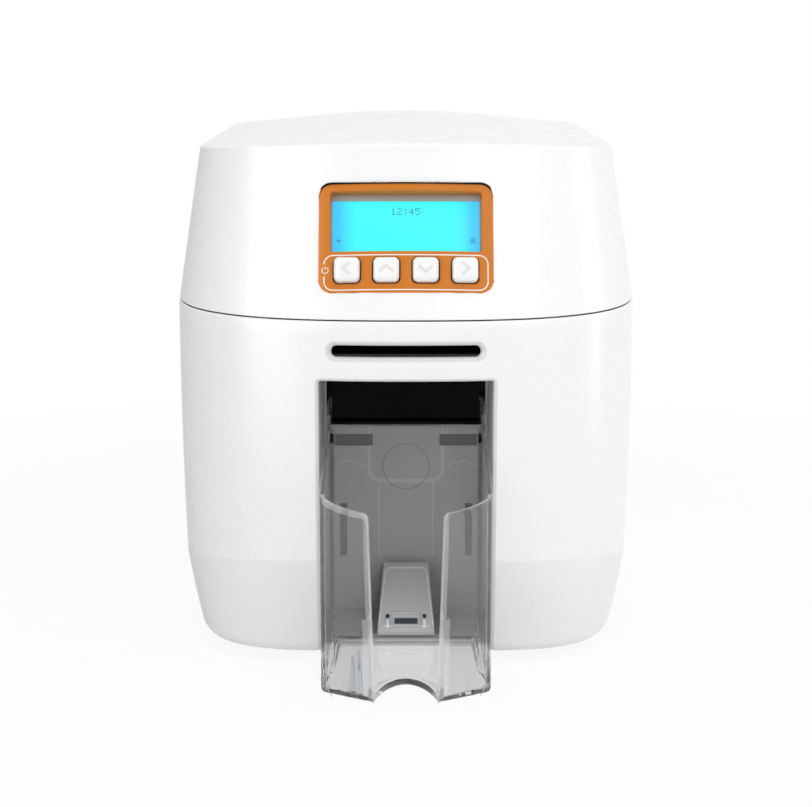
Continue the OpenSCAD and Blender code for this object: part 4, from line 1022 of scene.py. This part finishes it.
def on_floor(middle, normal):
    """Faces of the floor's upper side, where a whiter copy of the plastic paints light."""
    return (normal[:, 2] > 0.6) & (middle[:, 2] < 12)


def on_step(middle, normal):
    """Faces of the riser's rear side, where the floor steps up; a white, mostly frosted copy of the
    plastic paints a highlight on them.
    """
    return (np.abs(middle[:, 1] - TRAY_STEP[0]) < 1.3) & (normal[:, 1] > 0.35) & (middle[:, 2] < 10)


def on_sill(middle, normal):
    """Faces of the raised floor between the step and the catch's cut, where a whiter, partly frosted
    copy of the plastic paints light.
    """
    across = (middle[:, 1] > TRAY_STEP[0] + 0.8) & (middle[:, 1] < CATCH_CUT[1] + 0.2)
    return across & (normal[:, 2] > 0.6) & (np.abs(middle[:, 0]) < CATCH_CUT[0]) & (middle[:, 2] < 12)


tray_look = clear_plastic("tray_clear", (0.84, 0.85, 0.86), 0.02)
# Whiter, partly frosted copies paint glints and light on the rim, the floor, the step and the sill.
rim_glint_look = clear_plastic("tray_rim", (0.95, 0.95, 0.95), 0.26)
floor_light_look = clear_plastic("tray_floor", (0.96, 0.96, 0.965), 0.03)
step_highlight_look = clear_plastic("tray_step_highlight", (1, 1, 1), 0.9)
sill_light_look = clear_plastic("tray_sill_light", (0.97, 0.97, 0.97), 0.4)
tray = piece("card_tray_shell", points, faces, "tray", "tray_clear", tray_look, inner=TRAY_RIM_T,
             thinner=tray_rim, edge=0.35, crisp=30)
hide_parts("card_tray")
for look, chosen in ((rim_glint_look, on_rim), (floor_light_look, on_floor), (step_highlight_look, on_step),
                     (sill_light_look, on_sill)):
    second_look(tray, look, chosen)
parts = []
rib_x, rib_w, rib_h, rib_front, rib_rear = TRAY_RIBS
for side in (-1, 1):
    parts.append((np.array(GUSSET), "x", *sorted((side * GUSSET_X[0], side * GUSSET_X[1]))))
    rib = rect((rib_front, 8.2), (rib_rear, 8.4 + rib_h))
    parts.append((rib, "x", *sorted((side * rib_x, side * (rib_x + rib_w)))))
piece("card_tray_ribs", *prisms(parts), "tray", "tray_clear", tray_look, edge=0.3)

# Tray catch
# A grey plastic tongue on a pin in the bay's back wall; its nose rises behind
# the tray's step. A framed dark window and two bright pins mark it. A light grey
# strip round its arched outline and along its lip paints the highlight on its
# rounded edges, and two black patches paint the shade in two small holes.
TONGUE = ((-66, 31), (-92.6, 10.8))
WINDOW_FLOOR = (-87.4, -91.5, -1.6, -1.1)
FRAME_UP = (-0.2, 0.3)
FRAME_Y = (-86.1, -86.6, -92.2, -92.7)
FRAME_X = (6.25, 6.7)
PINS_X = (-8.15, 8.15)
CATCH_PIN = (-90.0, -92.8, -0.4, 0.8)
CATCH_HOLE = (-87.1, -88.5, -0.3, 0.08)
CATCH_LIP = (-92.1, -92.55, -0.2, 0.35)
HIGHLIGHT_R = 2.4
HIGHLIGHT_W = 0.5
HIGHLIGHT_TOP = (9.3, -0.9)
HIGHLIGHT_FOOT = (12.0, -32.5)
core_look = finish("roller_core", (0.72, 0.72, 0.7), 0.45, grain=0.4, relief=0.01, mottle=0.03)
# A light grey that paints the highlight along the tongue's rounded outline and lip.
outline_highlight_look = finish("catch_outline_highlight", (0.78, 0.78, 0.79), 0.35, relief=0.005)
catch_look = finish("catch_grey", (0.55, 0.555, 0.565), 0.45)
dress("tray_catch", catch_look, edge=0.3)


def on_tongue(y0, y1, low, high):
    """Outline along the tongue's slope between two depths and two heights over its face."""
    (ya, za), (yb, zb) = TONGUE
    slope = (zb - za) / (yb - ya)
    return np.array([(y, za + slope * (y - ya) + up)
                     for y, up in ((y0, low), (y1, low), (y1, high), (y0, high))])


top_out, top_in, foot_in, foot_out = FRAME_Y
parts = [(on_tongue(top_in, top_out, *FRAME_UP), "x", -FRAME_X[1], FRAME_X[1]),
         (on_tongue(foot_out, foot_in, *FRAME_UP), "x", -FRAME_X[1], FRAME_X[1])]
jamb = on_tongue(top_out, foot_out, *FRAME_UP)
parts += [(jamb, "x", *sorted((side * FRAME_X[0], side * FRAME_X[1]))) for side in (-1, 1)]
piece("catch_frame", *prisms(parts), "catch", "bay_grey", catch_look, edge=0.1)
bright_look = finish("catch_pin", (0.97, 0.97, 0.97), 0.3, relief=0.005, mottle=0.01)
window_look = finish("window_dark", (0.05, 0.06, 0.08), 0.4, relief=0.01, mottle=0.1)
for name, bar, half, places, look, edge in (
        ("catch_window", WINDOW_FLOOR, 5.4, (0,), window_look, 0),
        ("catch_pins", CATCH_PIN, 0.6, PINS_X, bright_look, 0.2),
        # Black patches paint the shade in the two small holes.
        ("catch_holes", CATCH_HOLE, 0.7, PINS_X, black_look, 0),
        # A light grey strip paints the highlight on the tongue's lip.
        ("catch_lip", CATCH_LIP, 10.6, (0,), outline_highlight_look, 0.1)):
    parts = [(on_tongue(*bar), "x", at - half, at + half) for at in places]
    piece(name, *prisms(parts), "catch", "bay_grey", look, edge=edge)
# A light grey strip round the tongue's arched outline paints the highlight on its rounded edge.
(ya, za), (yb, zb) = TONGUE
slope = math.atan2(zb - za, yb - ya)
corner = np.radians(np.arange(0, 91, 15))
arch = np.array(HIGHLIGHT_TOP) - HIGHLIGHT_R + HIGHLIGHT_R * np.stack([np.sin(corner), np.cos(corner)], -1)
arch = np.concatenate([arch[:1] * (0, 1), arch, [HIGHLIGHT_FOOT]])
arch = np.concatenate([arch[:0:-1] * (-1, 1), arch])
points, faces = ribbon(arch, HIGHLIGHT_W, lambda x: 0 * x, 0.3, sink=0.2)
x, up, t = points.T
across = ya - t * math.cos(slope) - up * math.sin(slope)
points = np.stack([x, across, za - t * math.sin(slope) + up * math.cos(slope)], -1)
piece("catch_outline_glint", points, faces, "catch", "bay_grey", outline_highlight_look, crisp=50)

# Chassis
# Two zinc-plated sheet plates joined by the head bridge, with bronze bushings
# pressed into their holes, and the dark plastic deck that guides the card.
sheet_look = finish("sheet_steel", (0.62, 0.63, 0.65), 0.36, grain=2.5, relief=0.004, mottle=0.08,
                    metallic=1.0)
bronze_look = finish("bush_bronze", (0.62, 0.42, 0.2), 0.4, grain=0.2, relief=0.01, mottle=0.08,
                     metallic=1.0)
dark_look = finish("dark_plastic", (0.08, 0.085, 0.095), 0.45, grain=0.35, mottle=0.06)
for node in ("chassis_left", "chassis_right", "head_bridge"):
    dress(node, sheet_look, edge=0.15)
dress("shaft_bushings", bronze_look, edge=0.15)
dress("card_deck", dark_look, edge=0.2)

# Rollers and gear train
# Ground rubber tyres on steel and moulded shafts, driven on the right by a
# train of spur gears in natural plastic from the motor's brass pinion.
rubber_look = finish("roller_rubber", (0.05, 0.05, 0.055), 0.75, grain=0.15, relief=0.03,
                     mottle=0.1, stretch=(1, 6, 6))
gear_look = finish("gear_white", (0.84, 0.84, 0.8), 0.4, grain=0.4, relief=0.01)
brass_look = finish("pinion_brass", (0.78, 0.58, 0.25), 0.28, grain=0.2, relief=0.004, mottle=0.05,
                    metallic=1.0, stretch=(1, 10, 10))
tacky_look = finish("clean_blue", (0.1, 0.3, 0.6), 0.3, relief=0.004, mottle=0.04)
ROLLERS = {
    "exit_roller": core_look, "feed_roller": core_look, "pick_roller": core_look,
    "exit_pinch": core_look, "exit_tyres": rubber_look, "feed_tyres": rubber_look,
    "pick_tyres": rubber_look, "platen_rubber": rubber_look, "pick_belt": rubber_look,
    "platen_shaft": shaft_look, "platen_gear": gear_look, "idler_front": gear_look,
    "idler_rear": gear_look, "motor_pinion": brass_look, "cleaning_roller": tacky_look,
}
for node, look in ROLLERS.items():
    dress(node, look, edge=0.12)

# Motors and fan
# Black-cased motors with bright shafts, and a small fan behind the rear grille
# that draws air off the main board.
motor_look = finish("motor_metal", (0.07, 0.07, 0.075), 0.35, grain=0.5, relief=0.01, mottle=0.06,
                    metallic=0.6)
dress("drive_motor", motor_look, edge=0.3)
dress("film_motor", motor_look, edge=0.3)
dress("fan_frame", black_look, edge=0.3)
dress("fan_rotor", black_look, edge=0.15)

# Print head and film
# A thermal head in a cast aluminium carriage, pressed down by two springs and
# lifted by a cam shaft; the colour film runs under it between two spools.
cast_look = finish("head_aluminium", (0.66, 0.67, 0.69), 0.42, grain=0.5, mottle=0.05, metallic=1.0)
spring_look = finish("spring_steel", (0.75, 0.75, 0.77), 0.2, grain=0.1, relief=0.002, mottle=0.03,
                     metallic=1.0)
film_look = finish("film_dark", (0.03, 0.03, 0.05), 0.18, grain=0.12, relief=0.006, mottle=0.15,
                   stretch=(1, 12, 12))
web_look = finish("film_colour", (0.3, 0.05, 0.16), 0.15, grain=4, relief=0.003, mottle=0.08)
dress("head_carriage", cast_look, edge=0.3)
dress("printhead", cast_look, edge=0.15)
dress("head_springs", spring_look, edge=0)
dress("cam_shaft", gear_look, edge=0.12)
dress("supply_spool", core_look, edge=0.15)
dress("take_up_spool", core_look, edge=0.15)
dress("supply_film", film_look, edge=0.15)
dress("film_web", web_look, edge=0)

# Card hopper
# A dark plastic box for blank cards over the pick roller, with an orange
# follower that rests on the stack and slides down as it shrinks.
follower_look = finish("follower_orange", (0.7, 0.28, 0.04), 0.4, grain=0.4, mottle=0.03)
dress("hopper_box", dark_look, edge=0.3)
dress("hopper_follower", follower_look, edge=0.3)

# Circuit boards
# Green laminate with copper traces under the varnish, black chips and bright
# capacitor cans soldered on.
LACQUER = (0.008, 0.12, 0.05, 1)
COPPER = (0.02, 0.24, 0.1, 1)
COPPER_THICK = 0.00004
CHIP_TOP = BOARD_Z + 1.65
CAN_TOP = BOARD_Z + 5
CANS_Y = 104
CANS_X = 9


def board_lacquer():
    """Green varnish over tracks: bands of a stepped coordinate, bent by a brick pattern of
    noise cells, are a little lighter and raised."""
    look, start, place = new_look("board_green")
    cells = start.node("TexVoronoi", {"distance": "MANHATTAN"}, {"Vector": place, "Scale": 130.0})
    tracks = (cells.math("SINE") + cells * 9.0).math("FRACT").math("GREATER_THAN", 0.55)
    tint = start.blend(tracks, LACQUER, COPPER)
    bump = start.bump(tracks, COPPER_THICK, 0.5)
    start.node("BsdfPrincipled", sockets={
        "Base Color": tint, "Roughness": tracks * 0.08 + 0.26, "Normal": bump}).ends()
    return look


board_look = board_lacquer()
board = dress("main_board", board_look, edge=0.15)
second_look(board, black_look, lambda middle, normal: middle[:, 2] > CHIP_TOP)
second_look(board, cast_look, lambda middle, normal: (
    middle[:, 1] > CANS_Y) & (np.abs(middle[:, 0]) > CANS_X) & (middle[:, 2] > CAN_TOP))
dress("control_board", board_look, edge=0.15)

# Lid
# The same white plastic: walls that lean in towards a crowned top, one
# moulding with the window for the control panel cut in its front.
CROWN_FRONT = 2
CROWN_MID = 9.5
CROWN_Y = FRONT_Y + 150
CROWN_HALF = 150
CROWN_W = 94
RIM_R = 1.2
SEAM_GAP = 0.5
PANEL_TILT = math.atan(FRONT_LEAN)
PANEL_Z = 186
PANEL_AT = Vector((0, FRONT_Y + FRONT_LEAN * (PANEL_Z - LEAN_Z), PANEL_Z))
PANEL = (0, 0, 73.1, 46.6, 5.7)
PANEL_HOLE = (0, 0, PANEL[2] + 0.1, PANEL[3] + 0.1, PANEL[4] + 0.05)
PANEL_LIP = 1.0
NOTCH_TOP = HINGE_AT[1] + 3.9
HINGE_NOTCH = (0, NOTCH_TOP - 9.3, 174, 18.6, 0.4)
NOTCH_CUT = 0.3
NOTCH_TURNS = (2.3, 4.7)


def crown(x, y):
    """Height of the top: a parabola from front to back over one from side to side."""
    rise = CROWN_FRONT + CROWN_MID * (1 - ((y - CROWN_Y) / CROWN_HALF) ** 2)
    return RIM_Z + rise * (1 - (x / CROWN_W) ** 2)


def lid_skin(s, height, depth=0.0):
    """Outside of the lid's wall: the plan at each height, stretched upward near the rim so
    that it meets the crowned top."""
    lift = crown(*outline(s, RIM_Z)) - RIM_R - RIM_Z
    x, y = outline(s, height, depth)
    return np.stack([x, y, height + lift * ((height - SEAM_Z) / (RIM_Z - SEAM_Z)) ** 4], -1)


def panel_seen(shown):
    """Places of points on the sloping panel's face, as x and the way up the slope."""
    up = (shown[:, 2] - PANEL_AT.z) * math.cos(PANEL_TILT)
    return shown[:, 0], up + (shown[:, 1] - PANEL_AT.y) * math.sin(PANEL_TILT)


def lid_edges(run, height):
    """Distances from the panel's window and the hinge's notch."""
    shown = lid_skin(turn_at(run), height)
    front = np.where(shown[:, 1] < CENTRE_Y, 0, ELSEWHERE)
    rear = np.where(shown[:, 1] > REAR_Y - 12, 0, ELSEWHERE)
    return (from_round_rect(*panel_seen(shown), PANEL_HOLE) + front,
            seen_gap(shown, HINGE_NOTCH) + rear)


lid_low = SEAM_Z + SEAM_GAP
heights = [lid_low + rise for rise in (*EDGE_ROWS, 1.0)]
heights += list(spread(lid_low + 1, RIM_Z, GRID)[1:])
grid = np.concatenate([np.stack([columns, np.full(len(columns), z)], -1) for z in heights])
loops = []
for share in LIP_STEPS:
    ring = round_rect_loop(PANEL_HOLE, share * PANEL_LIP)
    ring[:, 1] = PANEL_AT.z + ring[:, 1] * math.cos(PANEL_TILT)
    loops.append((cut_line(lid_skin, ring, FRONT_TURNS), True))
half, cut = HINGE_NOTCH[2] / 2, NOTCH_CUT
notch = [(-half, lid_low), (-half, NOTCH_TOP - cut), (cut - half, NOTCH_TOP),
         (half - cut, NOTCH_TOP), (half, NOTCH_TOP - cut), (half, lid_low)]
notch = np.concatenate([np.linspace(a, b, 6 if abs(a[0] - b[0]) < 1 else 50)[:-1]
                        for a, b in zip(notch[:-1], notch[1:])] + [[notch[-1]]])
loops.append((cut_line(lid_skin, notch, NOTCH_TURNS, True), False))
flat, faces, depth = moulded(grid, loops, lid_edges, (PANEL_LIP, 0), (LIP_CLEAR, 1))
depth = np.maximum(depth, fillet(flat[:, 1] - lid_low, EDGE_R))
wall = lid_skin(turn_at(flat[:, 0]), flat[:, 1], depth)
rings = []
for turn in np.radians(np.arange(0, 91, 15)):
    x, y = outline(bends, RIM_Z, RIM_R * (1 - math.cos(turn)))
    rings.append(np.stack([x, y, crown(x, y) - RIM_R * (1 - math.sin(turn))], -1))
for share in np.linspace(1, 0, 36)[1:]:
    x, y = rings[6][:, 0] * share, CROWN_Y + (rings[6][:, 1] - CROWN_Y) * share
    rings.append(np.stack([x, y, crown(x, y)], -1))
cap = np.concatenate(rings)
cap_faces = ring_faces(len(rings), len(bends), len(wall))
lid = piece("lid_shell", np.concatenate([wall, cap]), faces.tolist() + cap_faces.tolist(),
            "lid", "casing_white", casing_look, inner=WALL)
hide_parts("top_lid")

# Lid fittings
# The lid's two hinge knuckles on their ribs, and the tabs behind its front
# edge that the latch bar hooks over; all are moulded with the lid.
LID_KNUCKLES = ((-49.6, -12.4), (12.4, 49.6))
TAB_X = (44, 54)
parts = knuckles(LID_KNUCKLES, 9)
tab = rect((front_at(TAB_X[1], SEAM_Z, 1.9), SEAM_Z + 1), (LATCH_AT[0] - 5, SEAM_Z + 3))
parts += [(tab, "x", *sorted((side * TAB_X[0], side * TAB_X[1]))) for side in (-1, 1)]
piece("lid_fittings", *prisms(parts), "lid", "casing_white", casing_look, edge=0.3)
dress("hinge_rod", shaft_look, edge=0.3)
dress("latch_bar", dark_look, edge=0.4)

# Control bezel
# A satin orange moulding set into the lid's window and bowed with the lid's
# front, with a deep display window and four button holes.
BEZEL_FACE = 0.6
BEZEL_BOW = 287
BEZEL_EDGE = 0.6
BEZEL_BACK = 5.3
BEZEL_GRID = 2.4
BEZEL_CLEAR = 0.5
ORANGE = (0.60, 0.185, 0.014)
WINDOW = (0, 7.3, 62.9, 25.4, 1.2)
WINDOW_EDGE = 0.6
WINDOW_DEEP = 7.7
BUTTON_W = 10.7
BUTTON_H = 10.3
BUTTON_X = (-24.45, -8.15, 8.15, 24.45)
BUTTON_ROW = -13.55
BUTTON_GAP = 0.5
HOLE_EDGE = 0.4
HOLE_R = 2.4
HOLE_BACK = 4.2
HOLES = [(x, BUTTON_ROW, BUTTON_W + 2 * BUTTON_GAP, BUTTON_H + 2 * BUTTON_GAP, HOLE_R)
         for x in BUTTON_X]


def on_panel(x, y, z):
    """Points of the sloping panel's frame, y into the lid and z up the slope, in place."""
    cos, sin = math.cos(PANEL_TILT), math.sin(PANEL_TILT)
    x, y, z = np.broadcast_arrays(x, y, z)
    return np.stack([x, PANEL_AT.y + y * cos + z * sin, PANEL_AT.z + z * cos - y * sin], -1)


def bow(x):
    """Depth of the bezel's face: an arc of a large circle across the panel."""
    return BEZEL_FACE + BEZEL_BOW - np.sqrt(BEZEL_BOW**2 - x**2)


def sleeve(loop, near, far, count=3):
    """Rings of a closed loop carried straight into the lid, from depths near to far."""
    loop = np.concatenate([loop, loop[:1]])
    depth = np.linspace(near(loop[:, 0]), far + 0 * loop[:, 0], count)
    return np.concatenate([np.stack([loop[:, 0], row, loop[:, 1]], -1) for row in depth]), len(loop)


def bezel_gaps(x, z):
    """Distances inside the bezel's rim, and outside its window and its button holes."""
    return (-from_round_rect(x, z, PANEL), from_round_rect(x, z, WINDOW),
            np.min([from_round_rect(x, z, hole) for hole in HOLES], axis=0))


grid = plane_grid(spread(-36, 36, BEZEL_GRID), spread(-23, 23, BEZEL_GRID))
loops = []
for share in LIP_STEPS:
    loops.append((round_rect_loop(PANEL, -share * BEZEL_EDGE), True))
    loops.append((round_rect_loop(WINDOW, share * WINDOW_EDGE), True))
    loops += [(round_rect_loop(hole, share * HOLE_EDGE), True) for hole in HOLES]
flat, faces, depth = moulded(grid, loops, bezel_gaps, (BEZEL_EDGE, WINDOW_EDGE, HOLE_EDGE),
                             (BEZEL_CLEAR,) * 3)
skins = [np.stack([flat[:, 0], bow(flat[:, 0]) + depth, flat[:, 1]], -1)]
faces = faces.tolist()
edges = [(PANEL, BEZEL_EDGE, BEZEL_BACK), (WINDOW, WINDOW_EDGE, WINDOW_DEEP)]
edges += [(hole, HOLE_EDGE, HOLE_BACK) for hole in HOLES]
for shape, radius, far in edges:
    ring, across = sleeve(round_rect_loop(shape, 0), lambda x: bow(x) + radius, far)
    faces += ring_faces(3, across, sum(map(len, skins))).tolist()
    skins.append(ring)
skin = np.concatenate(skins)
bezel_look = finish("bezel_orange", ORANGE, 0.35, grain=0.5, relief=0.004, specular=0.25)
bezel = piece("bezel_shell", on_panel(*skin.T), faces, "lid", "bezel_orange", bezel_look)
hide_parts("control_bezel")

# Bezel print
# Thin white lines printed on the bezel: a frame round the four buttons, open at
# the left where a small power symbol stands.
LINE_W = 0.45
LINE_LIFT = 0.03
LINE_BOX = (0, -14.45, 67.9, 14.7, 3.7)
LINE_GAP = (-10.7, -15.9)
POWER_AT = (-33.5, -13.3)
POWER_R = 1.3
SIGN_W = 0.32

line = round_rect_loop(LINE_BOX, 0)
line_left = -LINE_BOX[2] / 2
gap = (line[:, 0] < line_left + 0.05) & (line[:, 1] < LINE_GAP[0]) & (line[:, 1] > LINE_GAP[1])
gap = np.flatnonzero(gap)
line = np.roll(line, -gap[-1] - 1, axis=0)[:len(line) - len(gap)]
line = np.concatenate([[(line_left, LINE_GAP[1])], line, [(line_left, LINE_GAP[0])]])
turn = np.radians(np.linspace(125, 415, 25))
arc = np.stack([POWER_AT[0] + POWER_R * np.cos(turn), POWER_AT[1] + POWER_R * np.sin(turn)], -1)
bar = [(POWER_AT[0], POWER_AT[1] + 0.2), (POWER_AT[0], POWER_AT[1] + 1.6)]
points, faces = joined([ribbon(path, width, bow, LINE_LIFT)
                        for path, width in ((line, LINE_W), (arc, SIGN_W), (bar, SIGN_W))])
print_look = finish("bezel_print", (0.9, 0.88, 0.86), 0.45, relief=0.002)
piece("bezel_print", on_panel(*points.T), faces, "lid", "bezel_orange", print_look)

# Display
# A lit liquid-crystal panel behind a grey surround: cyan in the middle, bluer
# at the sides, with a clock and two key symbols in dark dots.
SURROUND_OUT = (0, 7.3, 64.4, 26.9, 1.6)
SURROUND_IN = (0, 6.2, 61.4, 22.2, 0.6)
SURROUND_Y = 7.6
SCREEN = (0, 7.0, 67, 26.8, 1)
SCREEN_Y = 8.02
SCREEN_BACK = 11.0
GLOW = [(0.0, (0.05, 1.0, 1.0, 1)), (0.62, (0.05, 1.0, 1.0, 1)), (0.78, (0.05, 0.84, 1.0, 1)),
        (0.9, (0.05, 0.6, 1.0, 1)), (1.0, (0.05, 0.55, 0.98, 1))]
GLOW_HALF = 0.031
ROW_BLUE = (0.05, 0.5, 0.9, 1)
DOT = 0.36
DOT_PITCH = 0.42
DOT_Y = (SCREEN_Y - 0.02, SCREEN_Y + 0.05)
GLYPHS = {
    "1": "00100 01100 00100 00100 00100 00100 01110",
    "2": "01110 10001 00001 00110 01000 10000 11111",
    "4": "00010 00110 01010 10010 11111 00010 00010",
    "5": "11111 10000 11110 00001 00001 10001 01110",
    ":": "00000 00100 00100 00000 00100 00100 00000",
    "back": "00000 00100 01000 11111 01000 00100 00000",
    "list": "00000 11111 00000 11111 00000 11111 00000",
}
READOUT = [(("1", "2", ":", "4", "5"), -6.3, 11.6), (("back",), -29.0, -0.9), (("list",), 26.9, -0.9)]

outer, inner = round_rect_loop(SURROUND_OUT, 0), round_rect_loop(SURROUND_IN, 0)
flat, faces = trimmed(np.zeros((0, 2)), [(outer, True), (inner, True)],
                      lambda middle: from_round_rect(*middle.T, SURROUND_IN) > 0)
points = on_panel(flat[:, 0], SURROUND_Y + 0.4, flat[:, 1])
surround_look = finish("frame_blue_grey", (0.36, 0.355, 0.35), 0.5, relief=0.01, mottle=0.04)
surround = piece("display_surround", points, faces, "lid", "frame_blue_grey", surround_look,
                 inner=-0.4, edge=0.1)
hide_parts("display_frame")


def lit_screen():
    """Glow of the panel: the colour goes from blue at the sides to cyan in the middle by the
    distance across, and is a little dimmer in fine rows towards the sides."""
    look, start, place = new_look("display_cyan")
    across = start.node("SeparateXYZ", sockets={0: place}).math("ABSOLUTE")
    height = start.node("SeparateXYZ", sockets={0: place}, out=2)
    middle = start.node("ValToRGB", {"stops": GLOW}, {0: across * (1 / GLOW_HALF)})
    rows = (height * 5200.0).math("SINE") * (across * 12.0).math("POWER", 2.0)
    glow = start.blend(rows.math("MAXIMUM", 0.0), middle, ROW_BLUE)
    cover = start.node("TexNoise", sockets={"Vector": place, "Scale": 700.0})
    start.node("BsdfPrincipled", sockets={
        "Base Color": (0.01, 0.03, 0.035, 1), "Roughness": cover * 0.06 + 0.22,
        "Emission Color": glow, "Emission Strength": 1.0, "Specular IOR Level": 0.2}).ends()
    return look


points, faces = prisms([(round_rect_loop(SCREEN, 0), "y", SCREEN_Y, SCREEN_BACK)])
screen = piece("lit_display", on_panel(*points.T), faces, "lid", "display_cyan", lit_screen(), edge=0.1)
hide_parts("lcd_module")
parts = []
for signs, left, low in READOUT:
    for k, sign in enumerate(signs):
        for row, bits in enumerate(GLYPHS[sign].split()):
            for column in (i for i, bit in enumerate(bits) if bit == "1"):
                x = left + (6 * k + column) * DOT_PITCH
                z = low + (6 - row) * DOT_PITCH
                parts.append((rect((x, z), (x + DOT, z + DOT)), "y", *DOT_Y))
points, faces = prisms(parts)
dot_look = finish("display_dots", (0.02, 0.12, 0.22), 0.5, grain=0.2, relief=0.001, mottle=0.1)
piece("display_dots", on_panel(*points.T), faces, "lid", "display_cyan", dot_look)

# Buttons
# Four satin white keys with pillowed faces, each on its own spring behind the
# bezel, marked by faint raised arrows: left, up, down and right. The arrows are a
# darker grey, which paints the shade of their relief.
BUTTON_FACE = -2.25
BUTTON_PILLOW = 0.15
BUTTON_R = 1.9
BUTTON_PLAN_R = 2.2
BUTTON_DEPTHS = (4.0, 1.8, 0.6)
MARK_W = 1.3
MARK_LIFT = 0.1
MARKS = {
    "left": [(1.3, 2.6), (-1.6, 0), (1.3, -2.6)],
    "up": [(-3.0, -1.2), (0, 1.3), (3.0, -1.2)],
    "down": [(-3.0, 1.2), (0, -1.3), (3.0, 1.2)],
    "right": [(-1.3, 2.6), (1.6, 0), (-1.3, -2.6)],
}
button_look = finish("button_white", (0.88, 0.88, 0.885), 0.3, grain=0.4, relief=0.004, mottle=0.01)
# The arrows' darker grey paints the shade of their faint relief.
mark_shade_look = finish("button_mark_shade", (0.74, 0.74, 0.75), 0.35, grain=0.4, relief=0.004)


def pillow(x, z, at):
    """Depth of a key's face: highest in the middle and falling as a parabola each way."""
    across = ((x - at) / (BUTTON_W / 2)) ** 2 + ((z - BUTTON_ROW) / (BUTTON_H / 2)) ** 2
    return BUTTON_FACE - BUTTON_PILLOW * (1 - across / 2)


for at, (name, mark) in zip(BUTTON_X, MARKS.items()):
    base = round_rect_loop((at, BUTTON_ROW, BUTTON_W, BUTTON_H, BUTTON_PLAN_R), 0, 9)
    middle = np.array([at, BUTTON_ROW])
    side = base - middle
    rows = [np.insert(base, 1, depth, axis=1) for depth in BUTTON_DEPTHS]
    reach = np.array([BUTTON_W, BUTTON_H]) / 2 - BUTTON_PLAN_R
    inward = np.sign(side) * np.minimum(np.abs(side), reach)
    bend = side - inward
    for turn in np.radians(np.linspace(0, 90, 9)):
        spot = middle + inward + bend * (1 - BUTTON_R * (1 - math.cos(turn)) / BUTTON_PLAN_R)
        depth = pillow(*spot.T, at) + BUTTON_R * (1 - math.sin(turn))
        rows.append(np.insert(spot, 1, depth, axis=1))
    last = spot
    for share in (0.75, 0.5, 0.25, 0):
        spot = middle + (last - middle) * share
        rows.append(np.insert(spot, 1, pillow(*spot.T, at), axis=1))
    rows = [np.concatenate([row, row[:1]]) for row in rows]
    points, faces = on_panel(*np.concatenate(rows).T), ring_faces(len(rows), len(rows[0]))
    key = piece(name + "_key", points, faces, name + "_button", "button_white", button_look,
                crisp=60)
    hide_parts("button_" + name)
    points, faces = ribbon(knotted(np.array(mark) + middle), MARK_W, lambda x: 0 * x, MARK_LIFT)
    points[:, 1] += pillow(points[:, 0], points[:, 2], at)
    piece(name + "_mark", on_panel(*points.T), faces, name + "_button", "button_white", mark_shade_look)

# Control cover
# The dark plastic shell behind the panel that screws to the lid and keeps the
# control board against the bezel.
dress("control_cover", dark_look, edge=0.3)
